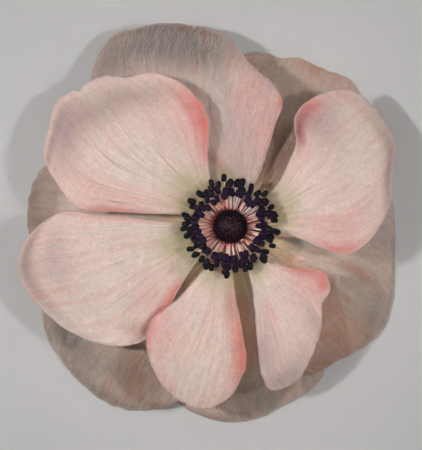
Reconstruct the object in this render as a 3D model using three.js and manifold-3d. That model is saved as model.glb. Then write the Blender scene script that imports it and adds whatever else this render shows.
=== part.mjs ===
// A ranunculus flower, picked just below its sepals and laid on its back with its face up.
// Millimetres, +Z up. The pieces are placed about the flower's own upright axis, and the last
// lines move the whole flower so that the middle of its box stands over the origin.

import * as THREE from 'three';
import { mergeVertices } from 'three/addons/utils/BufferGeometryUtils.js';
import Module from 'manifold-3d';

const wasm = await Module();
wasm.setup();

// ---- driving dimensions ----

const FOOT_RADIUS = 4.0;          // distance of every petal's and sepal's foot from the axis
const BLADE_THICKNESS = 0.75;     // of petals and sepals, measured upright
const REST_HEIGHT = BLADE_THICKNESS / 2;    // height of a blade's middle where it rests
const REST_BLEND = 0.6;           // how gently a drooping petal comes down to that height
const GAP = 0.3;                  // left between pieces that touch

const RECEPTACLE_RADIUS = FOOT_RADIUS - GAP;
const RECEPTACLE_TOP = 8.9;       // just above the feet of the inner petals
const STEM_RADIUS = 2.3;
const STEM_LENGTH = 2.4;          // what the picking left on below the sepals

const CROWN_FLOOR = RECEPTACLE_TOP + GAP;   // underside of the stamens' ring and the pistil head
const COLLAR_TOP = 10.6;          // of the ring that the stamens grow from
const COLLAR_RADIUS = 5.0;
const HEAD_NECK_RADIUS = 2.1;     // of the pistil head, inside the stamens' ring
const HEAD_RADIUS = 3.7;
const HEAD_WAIST = 11.9;          // height at which the head is widest
const HEAD_TOP = 14.9;
const STYLE_COUNT = 84;
const STAMEN_COUNT = 80;

const GOLDEN_TURN = Math.PI * (3 - Math.sqrt(5));

// ---- petals ----

// Bearings are in degrees, anticlockwise from +X. An outline runs clockwise from one side of the
// foot to the other, each point a bearing and a distance from the axis, and its two shoulders are
// the places along the list where the sides turn into the outer margin. Along its spine a petal
// starts at foot height, rises, and droops with the cube of the way out. Across, it tilts and
// cups, and its margin is ruffled by so many waves per turn.
const PETALS = [
  {
    name: 'inner_petal_1', color: 0xd9c3b8, bearing: 142, foot: 8.5, reach: 44, rise: 8.8, droop: 10.8,
    tilt: 0, cup: 1.0, ruffle: 0.6, waves: 7, phase: 0.5, shoulders: [6, 12.5],
    outline: [[159, 4.1], [164, 9.4], [171, 18.2], [173, 28.3], [173, 34.2], [166, 39.9], [160, 44.3],
      [152, 46.2], [144, 47.9], [137, 45.9], [130, 44.1], [125, 40.8], [118, 38.9], [110, 34.7],
      [103, 28.0], [102, 22.2], [108, 16.2], [114, 9.5], [117, 4.0]],
  },
  {
    name: 'inner_petal_2', color: 0xd8c2b2, bearing: 203, foot: 8.5, reach: 45, rise: 7.2, droop: 10.0,
    tilt: -0.02, cup: 0.6, ruffle: 0.6, waves: 6, phase: 2.0, shoulders: [7, 13],
    outline: [[221, 3.9], [226, 8.0], [228, 13.1], [231, 18.3], [234, 23.8], [234, 30.5], [230, 34.7],
      [223, 38.8], [214, 42.7], [205, 45.8], [196, 48.3], [191, 48.7], [185, 46.5], [179, 42.3],
      [175, 37.1], [175, 31.6], [175, 23.7], [176, 15.8], [175, 9.0], [178, 4.1]],
  },
  {
    name: 'inner_petal_3', color: 0xd6bfb4, bearing: 256, foot: 8.5, reach: 37, rise: 10.0, droop: 9.8,
    tilt: 0, cup: 0.9, ruffle: 0.4, waves: 8, phase: 1.0, shoulders: [7, 11.5],
    outline: [[277, 4.0], [272, 8.0], [274, 13.9], [276, 20.0], [277, 25.3], [277, 30.3], [274, 34.4],
      [270, 38.1], [263, 41.1], [256, 41.1], [248, 39.1], [241, 36.0], [234, 31.9], [230, 27.4],
      [233, 21.6], [236, 15.3], [239, 9.3], [235, 4.0]],
  },
  {
    name: 'inner_petal_4', color: 0xd4b5ad, bearing: 303, foot: 8.5, reach: 34.5, rise: 8.6, droop: 8.8,
    tilt: 0.05, cup: 0.9, ruffle: 0.5, waves: 8, phase: 0.2, shoulders: [5, 11],
    outline: [[328, 4.0], [321, 9.2], [323, 14.0], [329, 18.6], [334, 23.0], [328, 26.4], [320, 26.9],
      [313, 30.1], [305, 33.2], [297, 36.6], [290, 38.2], [284, 37.8], [282, 34.3], [283, 27.3],
      [286, 20.0], [290, 14.0], [292, 8.6], [288, 4.0]],
  },
  {
    name: 'inner_petal_5', color: 0xd3bfbb, bearing: 20, foot: 8.5, reach: 38, rise: 8.4, droop: 10.4,
    tilt: 0, cup: 1.0, ruffle: 0.6, waves: 7, phase: 1.4, shoulders: [7.5, 13.5],
    outline: [[37, 3.9], [39, 9.2], [42, 14.6], [48, 20.0], [52, 24.0], [59, 27.5], [59, 31.9],
      [55, 36.3], [49, 40.6], [44, 41.8], [36, 42.0], [27, 41.6], [19, 38.5], [9, 36.5], [359, 33.3],
      [350, 29.3], [346, 25.8], [347, 20.4], [351, 14.6], [352, 8.6], [352, 4.1]],
  },
  {
    name: 'middle_petal', color: 0xc9b6ae, bearing: 107, foot: 7.3, reach: 46, rise: 6.4, droop: 9.9,
    tilt: 0, cup: 0.3, ruffle: 0.7, waves: 7, phase: 0.8, shoulders: [7, 16],
    outline: [[100, 4.0], [124, 7.2], [135, 14.2], [140, 26.6], [139, 37.2], [136, 43.4], [132, 46.6],
      [126, 49.3], [121, 50.5], [115, 49.4], [108, 48.2], [101, 46.2], [94, 43.9], [88, 40.6],
      [83, 36.8], [74, 33.6], [67, 30.1], [66, 25.0], [63, 18.1], [60, 12.6], [60, 8.7], [60, 4.0]],
  },
  {
    name: 'outer_petal_1', color: 0xb59a84, bearing: 58, foot: 6.2, reach: 39.5, rise: 2.6, droop: 14.6,
    tilt: 0, cup: 0.3, ruffle: 0.5, waves: 9, phase: 0.3, shoulders: [5, 11.5],
    outline: [[67, 4.0], [76, 9.6], [86, 17.3], [90, 25.8], [90, 33.4], [86, 38.6], [80, 40.1],
      [73, 39.9], [68, 41.2], [59, 41.5], [51, 42.9], [44, 41.6], [36, 37.4], [31, 30.1], [29, 20.0],
      [28, 10.2], [32, 4.0]],
  },
  {
    name: 'outer_petal_2', color: 0xc4b0a6, bearing: 335, foot: 6.2, reach: 38.5, rise: 3.7, droop: 13.0,
    tilt: -0.07, cup: 0.2, ruffle: 0.4, waves: 7, phase: 2.2, shoulders: [5.6, 12],
    outline: [[355, 4.1], [9, 10.3], [13, 18.5], [15, 26.8], [15, 33.1], [11, 37.0], [359, 37.5],
      [348, 38.2], [337, 40.1], [327, 41.8], [317, 40.7], [307, 38.9], [300, 38.4], [297, 34.7],
      [296, 28.0], [297, 19.0], [301, 10.9], [319, 3.9]],
  },
  {
    name: 'outer_petal_3', color: 0xbfaaa0, bearing: 280, foot: 5.2, reach: 40.5, rise: 1.1, droop: 10.2,
    tilt: 0.03, cup: 0.2, ruffle: 0.35, waves: 7, phase: 0.9, shoulders: [5.5, 10.5],
    outline: [[297, 3.9], [302, 11.0], [304, 20.0], [305, 28.9], [305, 36.1], [303, 39.4],
      [296, 41.4], [288, 42.2], [279, 43.8], [271, 44.4], [263, 43.7], [254, 41.7], [250, 38.8],
      [247, 32.7], [246, 24.3], [247, 15.5], [250, 8.5], [262, 4.0]],
  },
  {
    name: 'outer_petal_4', color: 0xc2afa6, bearing: 228, foot: 6.2, reach: 45, rise: 3.8, droop: 13.8,
    tilt: 0.07, cup: 0.2, ruffle: 0.4, waves: 7, phase: 2.6, shoulders: [5, 10.5],
    outline: [[250, 4.0], [255, 11.3], [258, 19.2], [259, 27.2], [258, 34.9], [253, 41.7],
      [246, 45.6], [238, 48.3], [229, 49.0], [220, 48.8], [211, 48.4], [204, 46.5], [200, 43.1],
      [198, 36.7], [198, 28.4], [201, 19.3], [207, 10.1], [214, 4.1]],
  },
  {
    name: 'outer_petal_5', color: 0xb79f8c, bearing: 172, foot: 6.2, reach: 42, rise: 3.7, droop: 15.0,
    tilt: 0.04, cup: 0.2, ruffle: 0.5, waves: 9, phase: 0, shoulders: [5, 9],
    outline: [[185, 4.1], [188, 9.1], [192, 18.4], [194, 27.8], [193, 35.8], [189, 42.1],
      [183, 45.3], [176, 46.0], [168, 45.7], [162, 44.1], [158, 39.4], [156, 32.1], [154, 22.5],
      [152, 12.7], [152, 4.1]],
  },
];

const PETAL_COLUMNS = 13;
const PETAL_ROWS = 10;
const CUP_WIDTH = 15;             // a petal's cup is its rise this far beside the spine
const FOOT_SHARE = 0.4;           // tilt and cup grow from nothing over this share of the way out

function atBearing(degrees, distance) {
  const angle = THREE.MathUtils.degToRad(degrees);
  return new THREE.Vector3(distance * Math.cos(angle), distance * Math.sin(angle), 0);
}

// The petal's outline filled in: across runs from 0 to 1 between the sides, out from 0 at the
// foot to 1 at the margin. It blends the four stretches of the outline and takes off the corners.
function petalPlan(petal) {
  const last = petal.outline.length - 1;
  const curve = new THREE.CatmullRomCurve3(petal.outline.map(([b, d]) => atBearing(b, d)));
  const [left, right] = petal.shoulders;
  const along = (place) => curve.getPoint(place / last);
  const [startBearing, startDistance] = petal.outline[0];
  const [endBearing, endDistance] = petal.outline[last];
  const footTurn = ((startBearing - endBearing + 360) % 360) * -1;
  const corners = [along(0), along(last), along(left), along(right)];
  return (across, out) => {
    const foot = atBearing(
      startBearing + footTurn * across,
      THREE.MathUtils.lerp(startDistance, endDistance, across),
    );
    const point = new THREE.Vector3();
    point.addScaledVector(along(left * out), 1 - across);
    point.addScaledVector(along(last - (last - right) * out), across);
    point.addScaledVector(foot, 1 - out);
    point.addScaledVector(along(THREE.MathUtils.lerp(left, right, across)), out);
    point.addScaledVector(corners[0], -(1 - across) * (1 - out));
    point.addScaledVector(corners[1], -across * (1 - out));
    point.addScaledVector(corners[2], -(1 - across) * out);
    point.addScaledVector(corners[3], -across * out);
    return point;
  };
}

// Where a petal would sink below its resting height it lies flat, and it comes down to that
// height along a short parabola.
function restOnGround(height) {
  const above = height - REST_HEIGHT;
  if (above > REST_BLEND) return height;
  if (above < -REST_BLEND) return REST_HEIGHT;
  return REST_HEIGHT + (above + REST_BLEND) ** 2 / (4 * REST_BLEND);
}

function petalHeight(petal, point) {
  const distance = Math.hypot(point.x, point.y);
  const turn = Math.atan2(point.y, point.x) - THREE.MathUtils.degToRad(petal.bearing);
  const out = Math.max(distance - FOOT_RADIUS, 0) / petal.reach;
  const beside = distance * Math.sin(turn);
  const share = Math.min(out / FOOT_SHARE, 1);
  const spine = petal.foot + petal.rise * out - petal.droop * out ** 3;
  const across = (petal.tilt * beside + petal.cup * (beside / CUP_WIDTH) ** 2) * share;
  const ruffle = petal.ruffle * out ** 2 * Math.sin(petal.waves * wrapped(turn) + petal.phase);
  return restOnGround(spine + across + ruffle);
}

function wrapped(angle) {
  return THREE.MathUtils.euclideanModulo(angle + Math.PI, 2 * Math.PI) - Math.PI;
}

// A thin closed blade over a plan: an upper and a lower face with the same triangles, one blade
// thickness apart, and a narrow wall round the edge.
function bladeGeometry(plan, heightAt, columns, rows) {
  const positions = [];
  for (const side of [0.5, -0.5]) {
    for (let row = 0; row <= rows; row += 1) {
      for (let column = 0; column <= columns; column += 1) {
        const point = plan(column / columns, row / rows);
        positions.push(point.x, point.y, heightAt(point) + side * BLADE_THICKNESS);
      }
    }
  }
  const width = columns + 1;
  const under = width * (rows + 1);
  const index = [];
  for (let row = 0; row < rows; row += 1) {
    for (let column = 0; column < columns; column += 1) {
      const a = row * width + column;
      const b = a + 1;
      const c = b + width;
      const d = a + width;
      index.push(a, b, c, a, c, d);
      index.push(under + a, under + c, under + b, under + a, under + d, under + c);
    }
  }
  const rim = [];
  for (let column = 0; column < columns; column += 1) rim.push(column);
  for (let row = 0; row < rows; row += 1) rim.push(row * width + columns);
  for (let column = columns; column > 0; column -= 1) rim.push(rows * width + column);
  for (let row = rows; row > 0; row -= 1) rim.push(row * width);
  rim.forEach((a, place) => {
    const b = rim[(place + 1) % rim.length];
    index.push(under + a, under + b, b, under + a, b, a);
  });
  return indexed(positions, index);
}

function indexed(positions, index) {
  const geometry = new THREE.BufferGeometry();
  geometry.setAttribute('position', new THREE.Float32BufferAttribute(positions, 3));
  geometry.setIndex(index);
  return geometry;
}

// ---- sepals ----

const SEPAL_COUNT = 5;
const SEPAL_LENGTH = 9.5;
const SEPAL_HALF_WIDTH = 2.7;
const SEPAL_FOOT_HALF_WIDTH = 1.3;
const SEPAL_TIP_HALF_WIDTH = 0.3;
const SEPAL_FOOT_HEIGHT = 3.9;
const SEPAL_FALL = 1.7;           // from foot to tip
const SEPAL_CUP = 0.5;            // rise of its sides over its spine
const SEPAL_CUP_SHARE = 0.5;      // the cup grows from nothing over this share of the way out
const SEPAL_FIRST_BEARING = 30;
const SEPAL_COLUMNS = 5;
const SEPAL_ROWS = 6;

// Narrow at the foot, widest a little past the middle, and bluntly pointed.
function sepalHalfWidth(out) {
  const base = THREE.MathUtils.lerp(SEPAL_FOOT_HALF_WIDTH, SEPAL_TIP_HALF_WIDTH, out);
  const middle = (SEPAL_FOOT_HALF_WIDTH + SEPAL_TIP_HALF_WIDTH) / 2;
  return base + (SEPAL_HALF_WIDTH - middle) * Math.sin(Math.PI * out);
}

function sepalGeometry(bearing) {
  const forward = atBearing(bearing, 1);
  const aside = atBearing(bearing - 90, 1);
  const plan = (across, out) => new THREE.Vector3()
    .addScaledVector(forward, FOOT_RADIUS + SEPAL_LENGTH * out)
    .addScaledVector(aside, (2 * across - 1) * sepalHalfWidth(out));
  const heightAt = (point) => {
    const out = (point.dot(forward) - FOOT_RADIUS) / SEPAL_LENGTH;
    const beside = point.dot(aside) / SEPAL_HALF_WIDTH;
    const cup = SEPAL_CUP * beside ** 2 * Math.min(out / SEPAL_CUP_SHARE, 1);
    return SEPAL_FOOT_HEIGHT - SEPAL_FALL * out ** 2 + cup;
  };
  return bladeGeometry(plan, heightAt, SEPAL_COLUMNS, SEPAL_ROWS);
}

// ---- stem and receptacle ----

const STEM_SEGMENTS = 28;
const STEM_BEVEL = 0.25;
const STEM_FLARE = 0.6;           // it widens by this much over the same height
const SHOULDER_HEIGHT = 1.1;      // of the receptacle's full width above the stem

function latheGeometry(profile, segments) {
  const points = profile.map(([radius, height]) => new THREE.Vector2(radius, height));
  return new THREE.LatheGeometry(points, segments).rotateX(Math.PI / 2);
}

function stemGeometry() {
  return latheGeometry([
    [0, 0],
    [STEM_RADIUS - STEM_BEVEL, 0],
    [STEM_RADIUS, STEM_BEVEL],
    [STEM_RADIUS, STEM_LENGTH],
    [STEM_RADIUS + STEM_FLARE, STEM_LENGTH + STEM_FLARE],
    [RECEPTACLE_RADIUS, STEM_LENGTH + SHOULDER_HEIGHT],
    [RECEPTACLE_RADIUS, RECEPTACLE_TOP - STEM_BEVEL],
    [RECEPTACLE_RADIUS - STEM_BEVEL, RECEPTACLE_TOP],
    [0, RECEPTACLE_TOP],
  ], STEM_SEGMENTS);
}

// ---- stamens and pistil head ----

const RANDOM_STEP = 0x6d2b79f5;
const RANDOM_RANGE = 2 ** 32;

// The same draws at every run.
function seededRandom(seed) {
  let state = seed;
  return () => {
    state = (state + RANDOM_STEP) | 0;
    let mixed = Math.imul(state ^ (state >>> 15), 1 | state);
    mixed = (mixed + Math.imul(mixed ^ (mixed >>> 7), 61 | mixed)) ^ mixed;
    return ((mixed ^ (mixed >>> 14)) >>> 0) / RANDOM_RANGE;
  };
}

// A closed rod of a few sides along a path that lies in one upright plane. Its first and last
// points are its tips, and each point between them carries a ring.
function rodGeometry(path, radii, sides, sideways) {
  const positions = [];
  path.forEach((point, place) => {
    if (place === 0 || place === path.length - 1) {
      positions.push(point.x, point.y, point.z);
      return;
    }
    const ahead = path[place + 1].clone().sub(path[place - 1]).normalize();
    const upright = sideways.clone().cross(ahead);
    for (let corner = 0; corner < sides; corner += 1) {
      const angle = 2 * Math.PI * corner / sides;
      const ring = point.clone()
        .addScaledVector(upright, radii[place] * Math.cos(angle))
        .addScaledVector(sideways, radii[place] * Math.sin(angle));
      positions.push(ring.x, ring.y, ring.z);
    }
  });
  const rings = path.length - 2;
  const tip = 1 + rings * sides;
  const index = [];
  for (let corner = 0; corner < sides; corner += 1) {
    const next = (corner + 1) % sides;
    index.push(0, 1 + next, 1 + corner);
    for (let ring = 0; ring < rings - 1; ring += 1) {
      const low = 1 + ring * sides;
      const high = low + sides;
      index.push(low + corner, low + next, high + next, low + corner, high + next, high + corner);
    }
    const final = tip - sides;
    index.push(final + corner, final + next, tip);
  }
  return indexed(positions, index);
}

const WELD_DISTANCE = 1e-4;

function toManifold(geometry) {
  const plain = geometry.clone();
  plain.deleteAttribute('normal');
  plain.deleteAttribute('uv');
  const welded = mergeVertices(plain, WELD_DISTANCE);
  return new wasm.Manifold(new wasm.Mesh({
    numProp: 3,
    vertProperties: new Float32Array(welded.attributes.position.array),
    triVerts: new Uint32Array(welded.index.array),
  }));
}

function fused(geometries) {
  const whole = geometries.map(toManifold).reduce((sum, solid) => sum.add(solid));
  const { vertProperties, triVerts } = whole.getMesh();
  return indexed(Array.from(vertProperties), Array.from(triVerts));
}

// Stamens stand round the pistil head in a spiral of golden turns. The first ones stand inmost
// and highest. Each is a thin filament that bends outward and carries an oval anther.
const STAMEN_SEED = 7;
const STAMEN_SIDES = 5;
const STAMEN_ROWS = 3;
const STAMEN_BEARING_SPREAD = 0.12;         // radians
const FILAMENT_RADIUS = 0.2;
const FILAMENT_ROOT = { radius: 4.55, height: 9.9 };
const FILAMENT_ROW = 0.16;        // the rows of roots stand this far apart
const FILAMENT_BEND = { out: 0.3, up: 0.8 };        // shares of the way from root to anther
const FILAMENT_STEPS = [0, 0.1, 0.6];
const ANTHER_NEAR = { radius: 6.9, height: 13.6 };
const ANTHER_FAR = { radius: 10.4, height: 12.0 };
const ANTHER_LENGTH = 2.0;
const ANTHER_RADIUS = 0.68;
const ANTHER_STEPS = [0.15, 0.5, 0.85];
const ANTHER_REACH_SPREAD = 1;
const ANTHER_HEIGHT_SPREAD = 0.5;
const COLLAR_SEGMENTS = 30;
const COLLAR_LEDGE = 0.1;         // how far its underside stays inside the petals' feet
const COLLAR_FLARE = 0.5;         // height of its sloping lower edge
const COLLAR_BEVEL = { out: 0.6, up: 0.4 };

function stamenGeometry(number, random) {
  const share = (number + 0.5) / STAMEN_COUNT;
  const bearing = number * GOLDEN_TURN + STAMEN_BEARING_SPREAD * (random() - 0.5);
  const outward = new THREE.Vector3(Math.cos(bearing), Math.sin(bearing), 0);
  const sideways = new THREE.Vector3(-Math.sin(bearing), Math.cos(bearing), 0);
  const place = (radius, height) => outward.clone().multiplyScalar(radius).setZ(height);
  const reach = THREE.MathUtils.lerp(ANTHER_NEAR.radius, ANTHER_FAR.radius, share)
    + ANTHER_REACH_SPREAD * (random() - 0.5);
  const height = THREE.MathUtils.lerp(ANTHER_NEAR.height, ANTHER_FAR.height, share)
    + ANTHER_HEIGHT_SPREAD * random();
  const rootRadius = FILAMENT_ROOT.radius + FILAMENT_ROW * (number % STAMEN_ROWS);
  const root = place(rootRadius, FILAMENT_ROOT.height);
  const bend = place(
    THREE.MathUtils.lerp(rootRadius, reach, FILAMENT_BEND.out),
    THREE.MathUtils.lerp(FILAMENT_ROOT.height, height, FILAMENT_BEND.up),
  );
  const neck = place(reach - ANTHER_LENGTH / 2, height);
  const filament = new THREE.QuadraticBezierCurve3(root, bend, neck);
  const path = FILAMENT_STEPS.map((t) => filament.getPoint(t));
  const radii = [0, FILAMENT_RADIUS, FILAMENT_RADIUS];
  for (const t of ANTHER_STEPS) {
    path.push(place(reach + (t - 0.5) * ANTHER_LENGTH, height));
    radii.push(ANTHER_RADIUS * Math.sqrt(4 * t * (1 - t)));
  }
  path.push(place(reach + ANTHER_LENGTH / 2, height));
  radii.push(0);
  return rodGeometry(path, radii, STAMEN_SIDES, sideways);
}

function stamensGeometry() {
  const random = seededRandom(STAMEN_SEED);
  const inside = HEAD_NECK_RADIUS + GAP;
  const collar = latheGeometry([
    [inside, CROWN_FLOOR],
    [FOOT_RADIUS - COLLAR_LEDGE, CROWN_FLOOR],
    [COLLAR_RADIUS, CROWN_FLOOR + COLLAR_FLARE],
    [COLLAR_RADIUS, COLLAR_TOP - COLLAR_BEVEL.up],
    [COLLAR_RADIUS - COLLAR_BEVEL.out, COLLAR_TOP],
    [inside, COLLAR_TOP],
    [inside, CROWN_FLOOR],
  ], COLLAR_SEGMENTS);
  const stamens = [];
  for (let number = 0; number < STAMEN_COUNT; number += 1) {
    stamens.push(stamenGeometry(number, random));
  }
  return fused([collar, ...stamens]);
}

// The head is a dome on a short neck, set all over with small styles that stand out of it.
const HEAD_SEGMENTS = 26;
const DOME_STEPS = 5;
const STYLE_SIDES = 3;
const STYLE_RADIUS = 0.24;
const STYLE_STAND = 0.3;          // how far a style stands out of the dome
const STYLE_DEPTH = 0.35;         // how far its root is sunk into it
const STYLE_POINT = 0.1;          // length of its two tips
const STYLE_TAPER = 0.7;          // its upper width as a share of its lower one
const STYLE_COVER = 0.9;          // the styles cover this share of the dome's height
const STYLE_LOWEST = 0.2;         // stand of the lowest styles as a share of the crown's
const DOME_UNDERCUT = 0.7;        // how far the dome's underside draws in from its edge

// A point of the dome, from its crown at 0 to its waist at a quarter turn.
function domePoint(fall, bearing, proud) {
  const radius = (HEAD_RADIUS + proud) * Math.sin(fall);
  const height = HEAD_WAIST + (HEAD_TOP - HEAD_WAIST + proud) * Math.cos(fall);
  return new THREE.Vector3(radius * Math.cos(bearing), radius * Math.sin(bearing), height);
}

function styleGeometry(number) {
  const fall = Math.acos(1 - STYLE_COVER * (number + 0.5) / STYLE_COUNT);
  const bearing = number * GOLDEN_TURN;
  const sideways = new THREE.Vector3(-Math.sin(bearing), Math.cos(bearing), 0);
  const proud = STYLE_STAND * THREE.MathUtils.lerp(STYLE_LOWEST, 1, Math.cos(fall));
  const path = [-STYLE_DEPTH - STYLE_POINT, -STYLE_DEPTH, proud - STYLE_POINT, proud]
    .map((depth) => domePoint(fall, bearing, depth));
  return rodGeometry(path, [0, STYLE_RADIUS, STYLE_TAPER * STYLE_RADIUS, 0], STYLE_SIDES, sideways);
}

function headGeometry() {
  const collarRoof = COLLAR_TOP + GAP;
  const profile = [
    [0, CROWN_FLOOR],
    [HEAD_NECK_RADIUS, CROWN_FLOOR],
    [HEAD_NECK_RADIUS, collarRoof],
    [HEAD_RADIUS - DOME_UNDERCUT, collarRoof],
  ];
  for (let step = 0; step <= DOME_STEPS; step += 1) {
    const point = domePoint(Math.PI / 2 * (1 - step / DOME_STEPS), 0, 0);
    profile.push([step === DOME_STEPS ? 0 : point.x, point.z]);
  }
  const styles = [];
  for (let number = 0; number < STYLE_COUNT; number += 1) styles.push(styleGeometry(number));
  return fused([latheGeometry(profile, HEAD_SEGMENTS), ...styles]);
}

// ---- the flower ----

const flower = new THREE.Group();

function addPiece(name, geometry, color, roughness) {
  geometry.computeVertexNormals();
  const material = new THREE.MeshStandardMaterial({ color, roughness, metalness: 0 });
  const mesh = new THREE.Mesh(geometry, material);
  mesh.name = name;
  flower.add(mesh);
}

addPiece('stem', stemGeometry(), 0x7d8a4a, 0.6);
for (let number = 0; number < SEPAL_COUNT; number += 1) {
  const bearing = SEPAL_FIRST_BEARING + number * 360 / SEPAL_COUNT;
  addPiece(`sepal_${number + 1}`, sepalGeometry(bearing), 0x8a9a55, 0.65);
}
for (const petal of PETALS) {
  const geometry = bladeGeometry(
    petalPlan(petal),
    (point) => petalHeight(petal, point),
    PETAL_COLUMNS,
    PETAL_ROWS,
  );
  addPiece(petal.name, geometry, petal.color, 0.55);
}
addPiece('stamens', stamensGeometry(), 0x1d1a22, 0.5);
addPiece('pistil_head', headGeometry(), 0x171016, 0.6);

const box = new THREE.Box3().setFromObject(flower);
const middle = box.getCenter(new THREE.Vector3());
flower.position.set(-middle.x, -middle.y, -box.min.z);
flower.updateMatrixWorld(true);

export default flower;
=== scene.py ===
import math

import bpy
import numpy as np
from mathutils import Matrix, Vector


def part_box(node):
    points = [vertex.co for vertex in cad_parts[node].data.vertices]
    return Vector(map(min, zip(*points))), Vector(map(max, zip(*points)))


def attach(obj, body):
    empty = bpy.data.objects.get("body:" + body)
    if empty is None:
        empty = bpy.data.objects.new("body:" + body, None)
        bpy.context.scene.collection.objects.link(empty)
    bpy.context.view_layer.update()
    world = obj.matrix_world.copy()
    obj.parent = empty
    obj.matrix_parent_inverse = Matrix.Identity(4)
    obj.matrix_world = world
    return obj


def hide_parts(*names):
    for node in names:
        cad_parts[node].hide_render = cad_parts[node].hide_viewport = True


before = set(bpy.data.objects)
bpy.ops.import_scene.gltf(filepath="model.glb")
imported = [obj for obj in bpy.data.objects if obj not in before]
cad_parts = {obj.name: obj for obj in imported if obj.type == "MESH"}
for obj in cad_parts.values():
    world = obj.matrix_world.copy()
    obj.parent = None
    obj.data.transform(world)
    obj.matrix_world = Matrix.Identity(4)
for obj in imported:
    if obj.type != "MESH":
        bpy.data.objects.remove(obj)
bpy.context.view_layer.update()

# ---- Stem and receptacle ----
# The stem is a green, faintly ribbed stalk that was picked off just below the sepals. Its top
# swells into the receptacle, the drum on which sepals, petals, stamens and pistil head grow.

MM = 0.001
stem_low, stem_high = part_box("stem")
AXIS = np.array([(stem_low.x + stem_high.x) / 2, (stem_low.y + stem_high.y) / 2, 0.0])
STEM_SIDES = 96
STEM_RIBS = 9
STEM_GREEN = "#6f7f3c"
STEM_PALE = "#a7ad6c"


def linear(hexcode):
    """A colour written as sRGB hex, as the linear RGBA that a shader socket takes."""
    parts = [int(hexcode[i:i + 2], 16) / 255 for i in (1, 3, 5)]
    return tuple(c / 12.92 if c <= 0.04045 else ((c + 0.055) / 1.055) ** 2.4 for c in parts) + (1.0,)


def smooth_step(low, high, value):
    """0 below low, 1 above high, and the curve 3x^2 - 2x^3 between them."""
    x = np.clip((value - low) / (high - low), 0, 1)
    return x * x * (3 - 2 * x)


def put_in_scene(name, data):
    """An object that holds the data, linked to the scene."""
    made = bpy.data.objects.new(name, data)
    bpy.context.scene.collection.objects.link(made)
    return made


def make_piece(name, vertices, faces, material, node, slot, uv=None, **paints):
    """A closed smooth mesh from arrays, which stands for a CAD node. uv holds two numbers a vertex
    and each paint, a named attribute, holds four."""
    mesh = bpy.data.meshes.new(name)
    mesh.from_pydata(vertices, [], faces)
    mesh.polygons.foreach_set("use_smooth", np.ones(len(mesh.polygons), bool))
    if uv is not None:
        corner = np.empty(len(mesh.loops), np.int32)
        mesh.loops.foreach_get("vertex_index", corner)
        layer = mesh.uv_layers.new(name="Blade")
        layer.data.foreach_set("uv", uv[corner].ravel())
    for label, values in paints.items():
        layer = mesh.color_attributes.new(name=label, type="FLOAT_COLOR", domain="POINT")
        layer.data.foreach_set("color", values.ravel())
    mesh.materials.append(material)
    mesh.update()
    piece = put_in_scene(name, mesh)
    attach(piece, "root")
    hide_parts(node)
    return piece


def round_turn(sides):
    """Angles evenly round a full turn."""
    return 2 * np.pi * np.arange(sides) / sides


def rods(paths, radii, sideways):
    """Closed rods, many at once. paths is rods x steps x 3, and its first and last steps are the
    closed tips. radii is rods x inner steps x sides. A ring's point is the path's point plus its
    radius times (cos a across + sin a sideways), where across is sideways crossed with the path's
    direction. Returns all vertices and faces, and each vertex's rod and share along it."""
    count, steps, _ = paths.shape
    sides = radii.shape[2]
    ahead = paths[:, 2:] - paths[:, :-2]
    ahead /= np.linalg.norm(ahead, axis=2, keepdims=True)
    across = np.cross(sideways[:, None, :], ahead)
    across /= np.linalg.norm(across, axis=2, keepdims=True)
    turn = round_turn(sides)
    ring = (np.cos(turn)[:, None] * across[:, :, None, :]
            + np.sin(turn)[:, None] * sideways[:, None, None, :])
    body = paths[:, 1:-1, None, :] + radii[..., None] * ring
    rings = steps - 2
    vertices = np.concatenate(
        [paths[:, :1], body.reshape(count, rings * sides, 3), paths[:, -1:]], axis=1)
    place = 1 + np.arange(rings * sides).reshape(rings, sides)
    beside = np.roll(place, -1, axis=1)
    wall = np.stack([place[:-1], beside[:-1], beside[1:], place[1:]], axis=-1).reshape(-1, 4)
    first = np.stack([np.zeros(sides, int), beside[0], place[0]], axis=-1)
    last = np.stack([place[-1], beside[-1], np.full(sides, rings * sides + 1)], axis=-1)
    step = vertices.shape[1]
    faces = []
    for offset in range(0, count * step, step):
        faces += (wall + offset).tolist() + (first + offset).tolist() + (last + offset).tolist()
    along = np.concatenate([[0.0], np.repeat(np.arange(1, rings + 1) / (rings + 1), sides), [1.0]])
    return vertices.reshape(-1, 3), faces, np.repeat(np.arange(count), step), np.tile(along, count)


def add(tree, kind, inputs=None, **settings):
    """A node in a shader tree, its settings set and its inputs given a value, a hex colour or a
    link."""
    made = tree.nodes.new("ShaderNode" + kind)
    for key, value in settings.items():
        setattr(made, key, value)
    for key, value in (inputs or {}).items():
        if isinstance(value, bpy.types.NodeSocket):
            tree.links.new(value, made.inputs[key])
        else:
            made.inputs[key].default_value = linear(value) if isinstance(value, str) else value
    return made


def mix_colour(tree, factor, first, second, blend="MIX"):
    """The colour that lies factor of the way from first to second."""
    mixed = add(tree, "Mix", {0: factor, 6: first, 7: second},
                data_type="RGBA", blend_type=blend)
    return mixed.outputs[2]


def reckon(tree, operation, *values):
    """One Math node's result."""
    return add(tree, "Math", dict(enumerate(values)), operation=operation).outputs[0]


def times(tree, first, *others):
    """Values multiplied together."""
    for other in others:
        first = reckon(tree, "MULTIPLY", first, other)
    return first


def tinted(tree, colour, by):
    """One colour multiplied by another."""
    return mix_colour(tree, 1.0, colour, by, "MULTIPLY")


def toned(tree, colour, strength):
    """A colour multiplied by a number."""
    grey = add(tree, "CombineColor", {0: strength, 1: strength, 2: strength})
    return tinted(tree, colour, grey.outputs[0])


def painted(tree, label):
    """A piece's named paint."""
    return add(tree, "Attribute", attribute_name=label, attribute_type="GEOMETRY")


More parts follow.
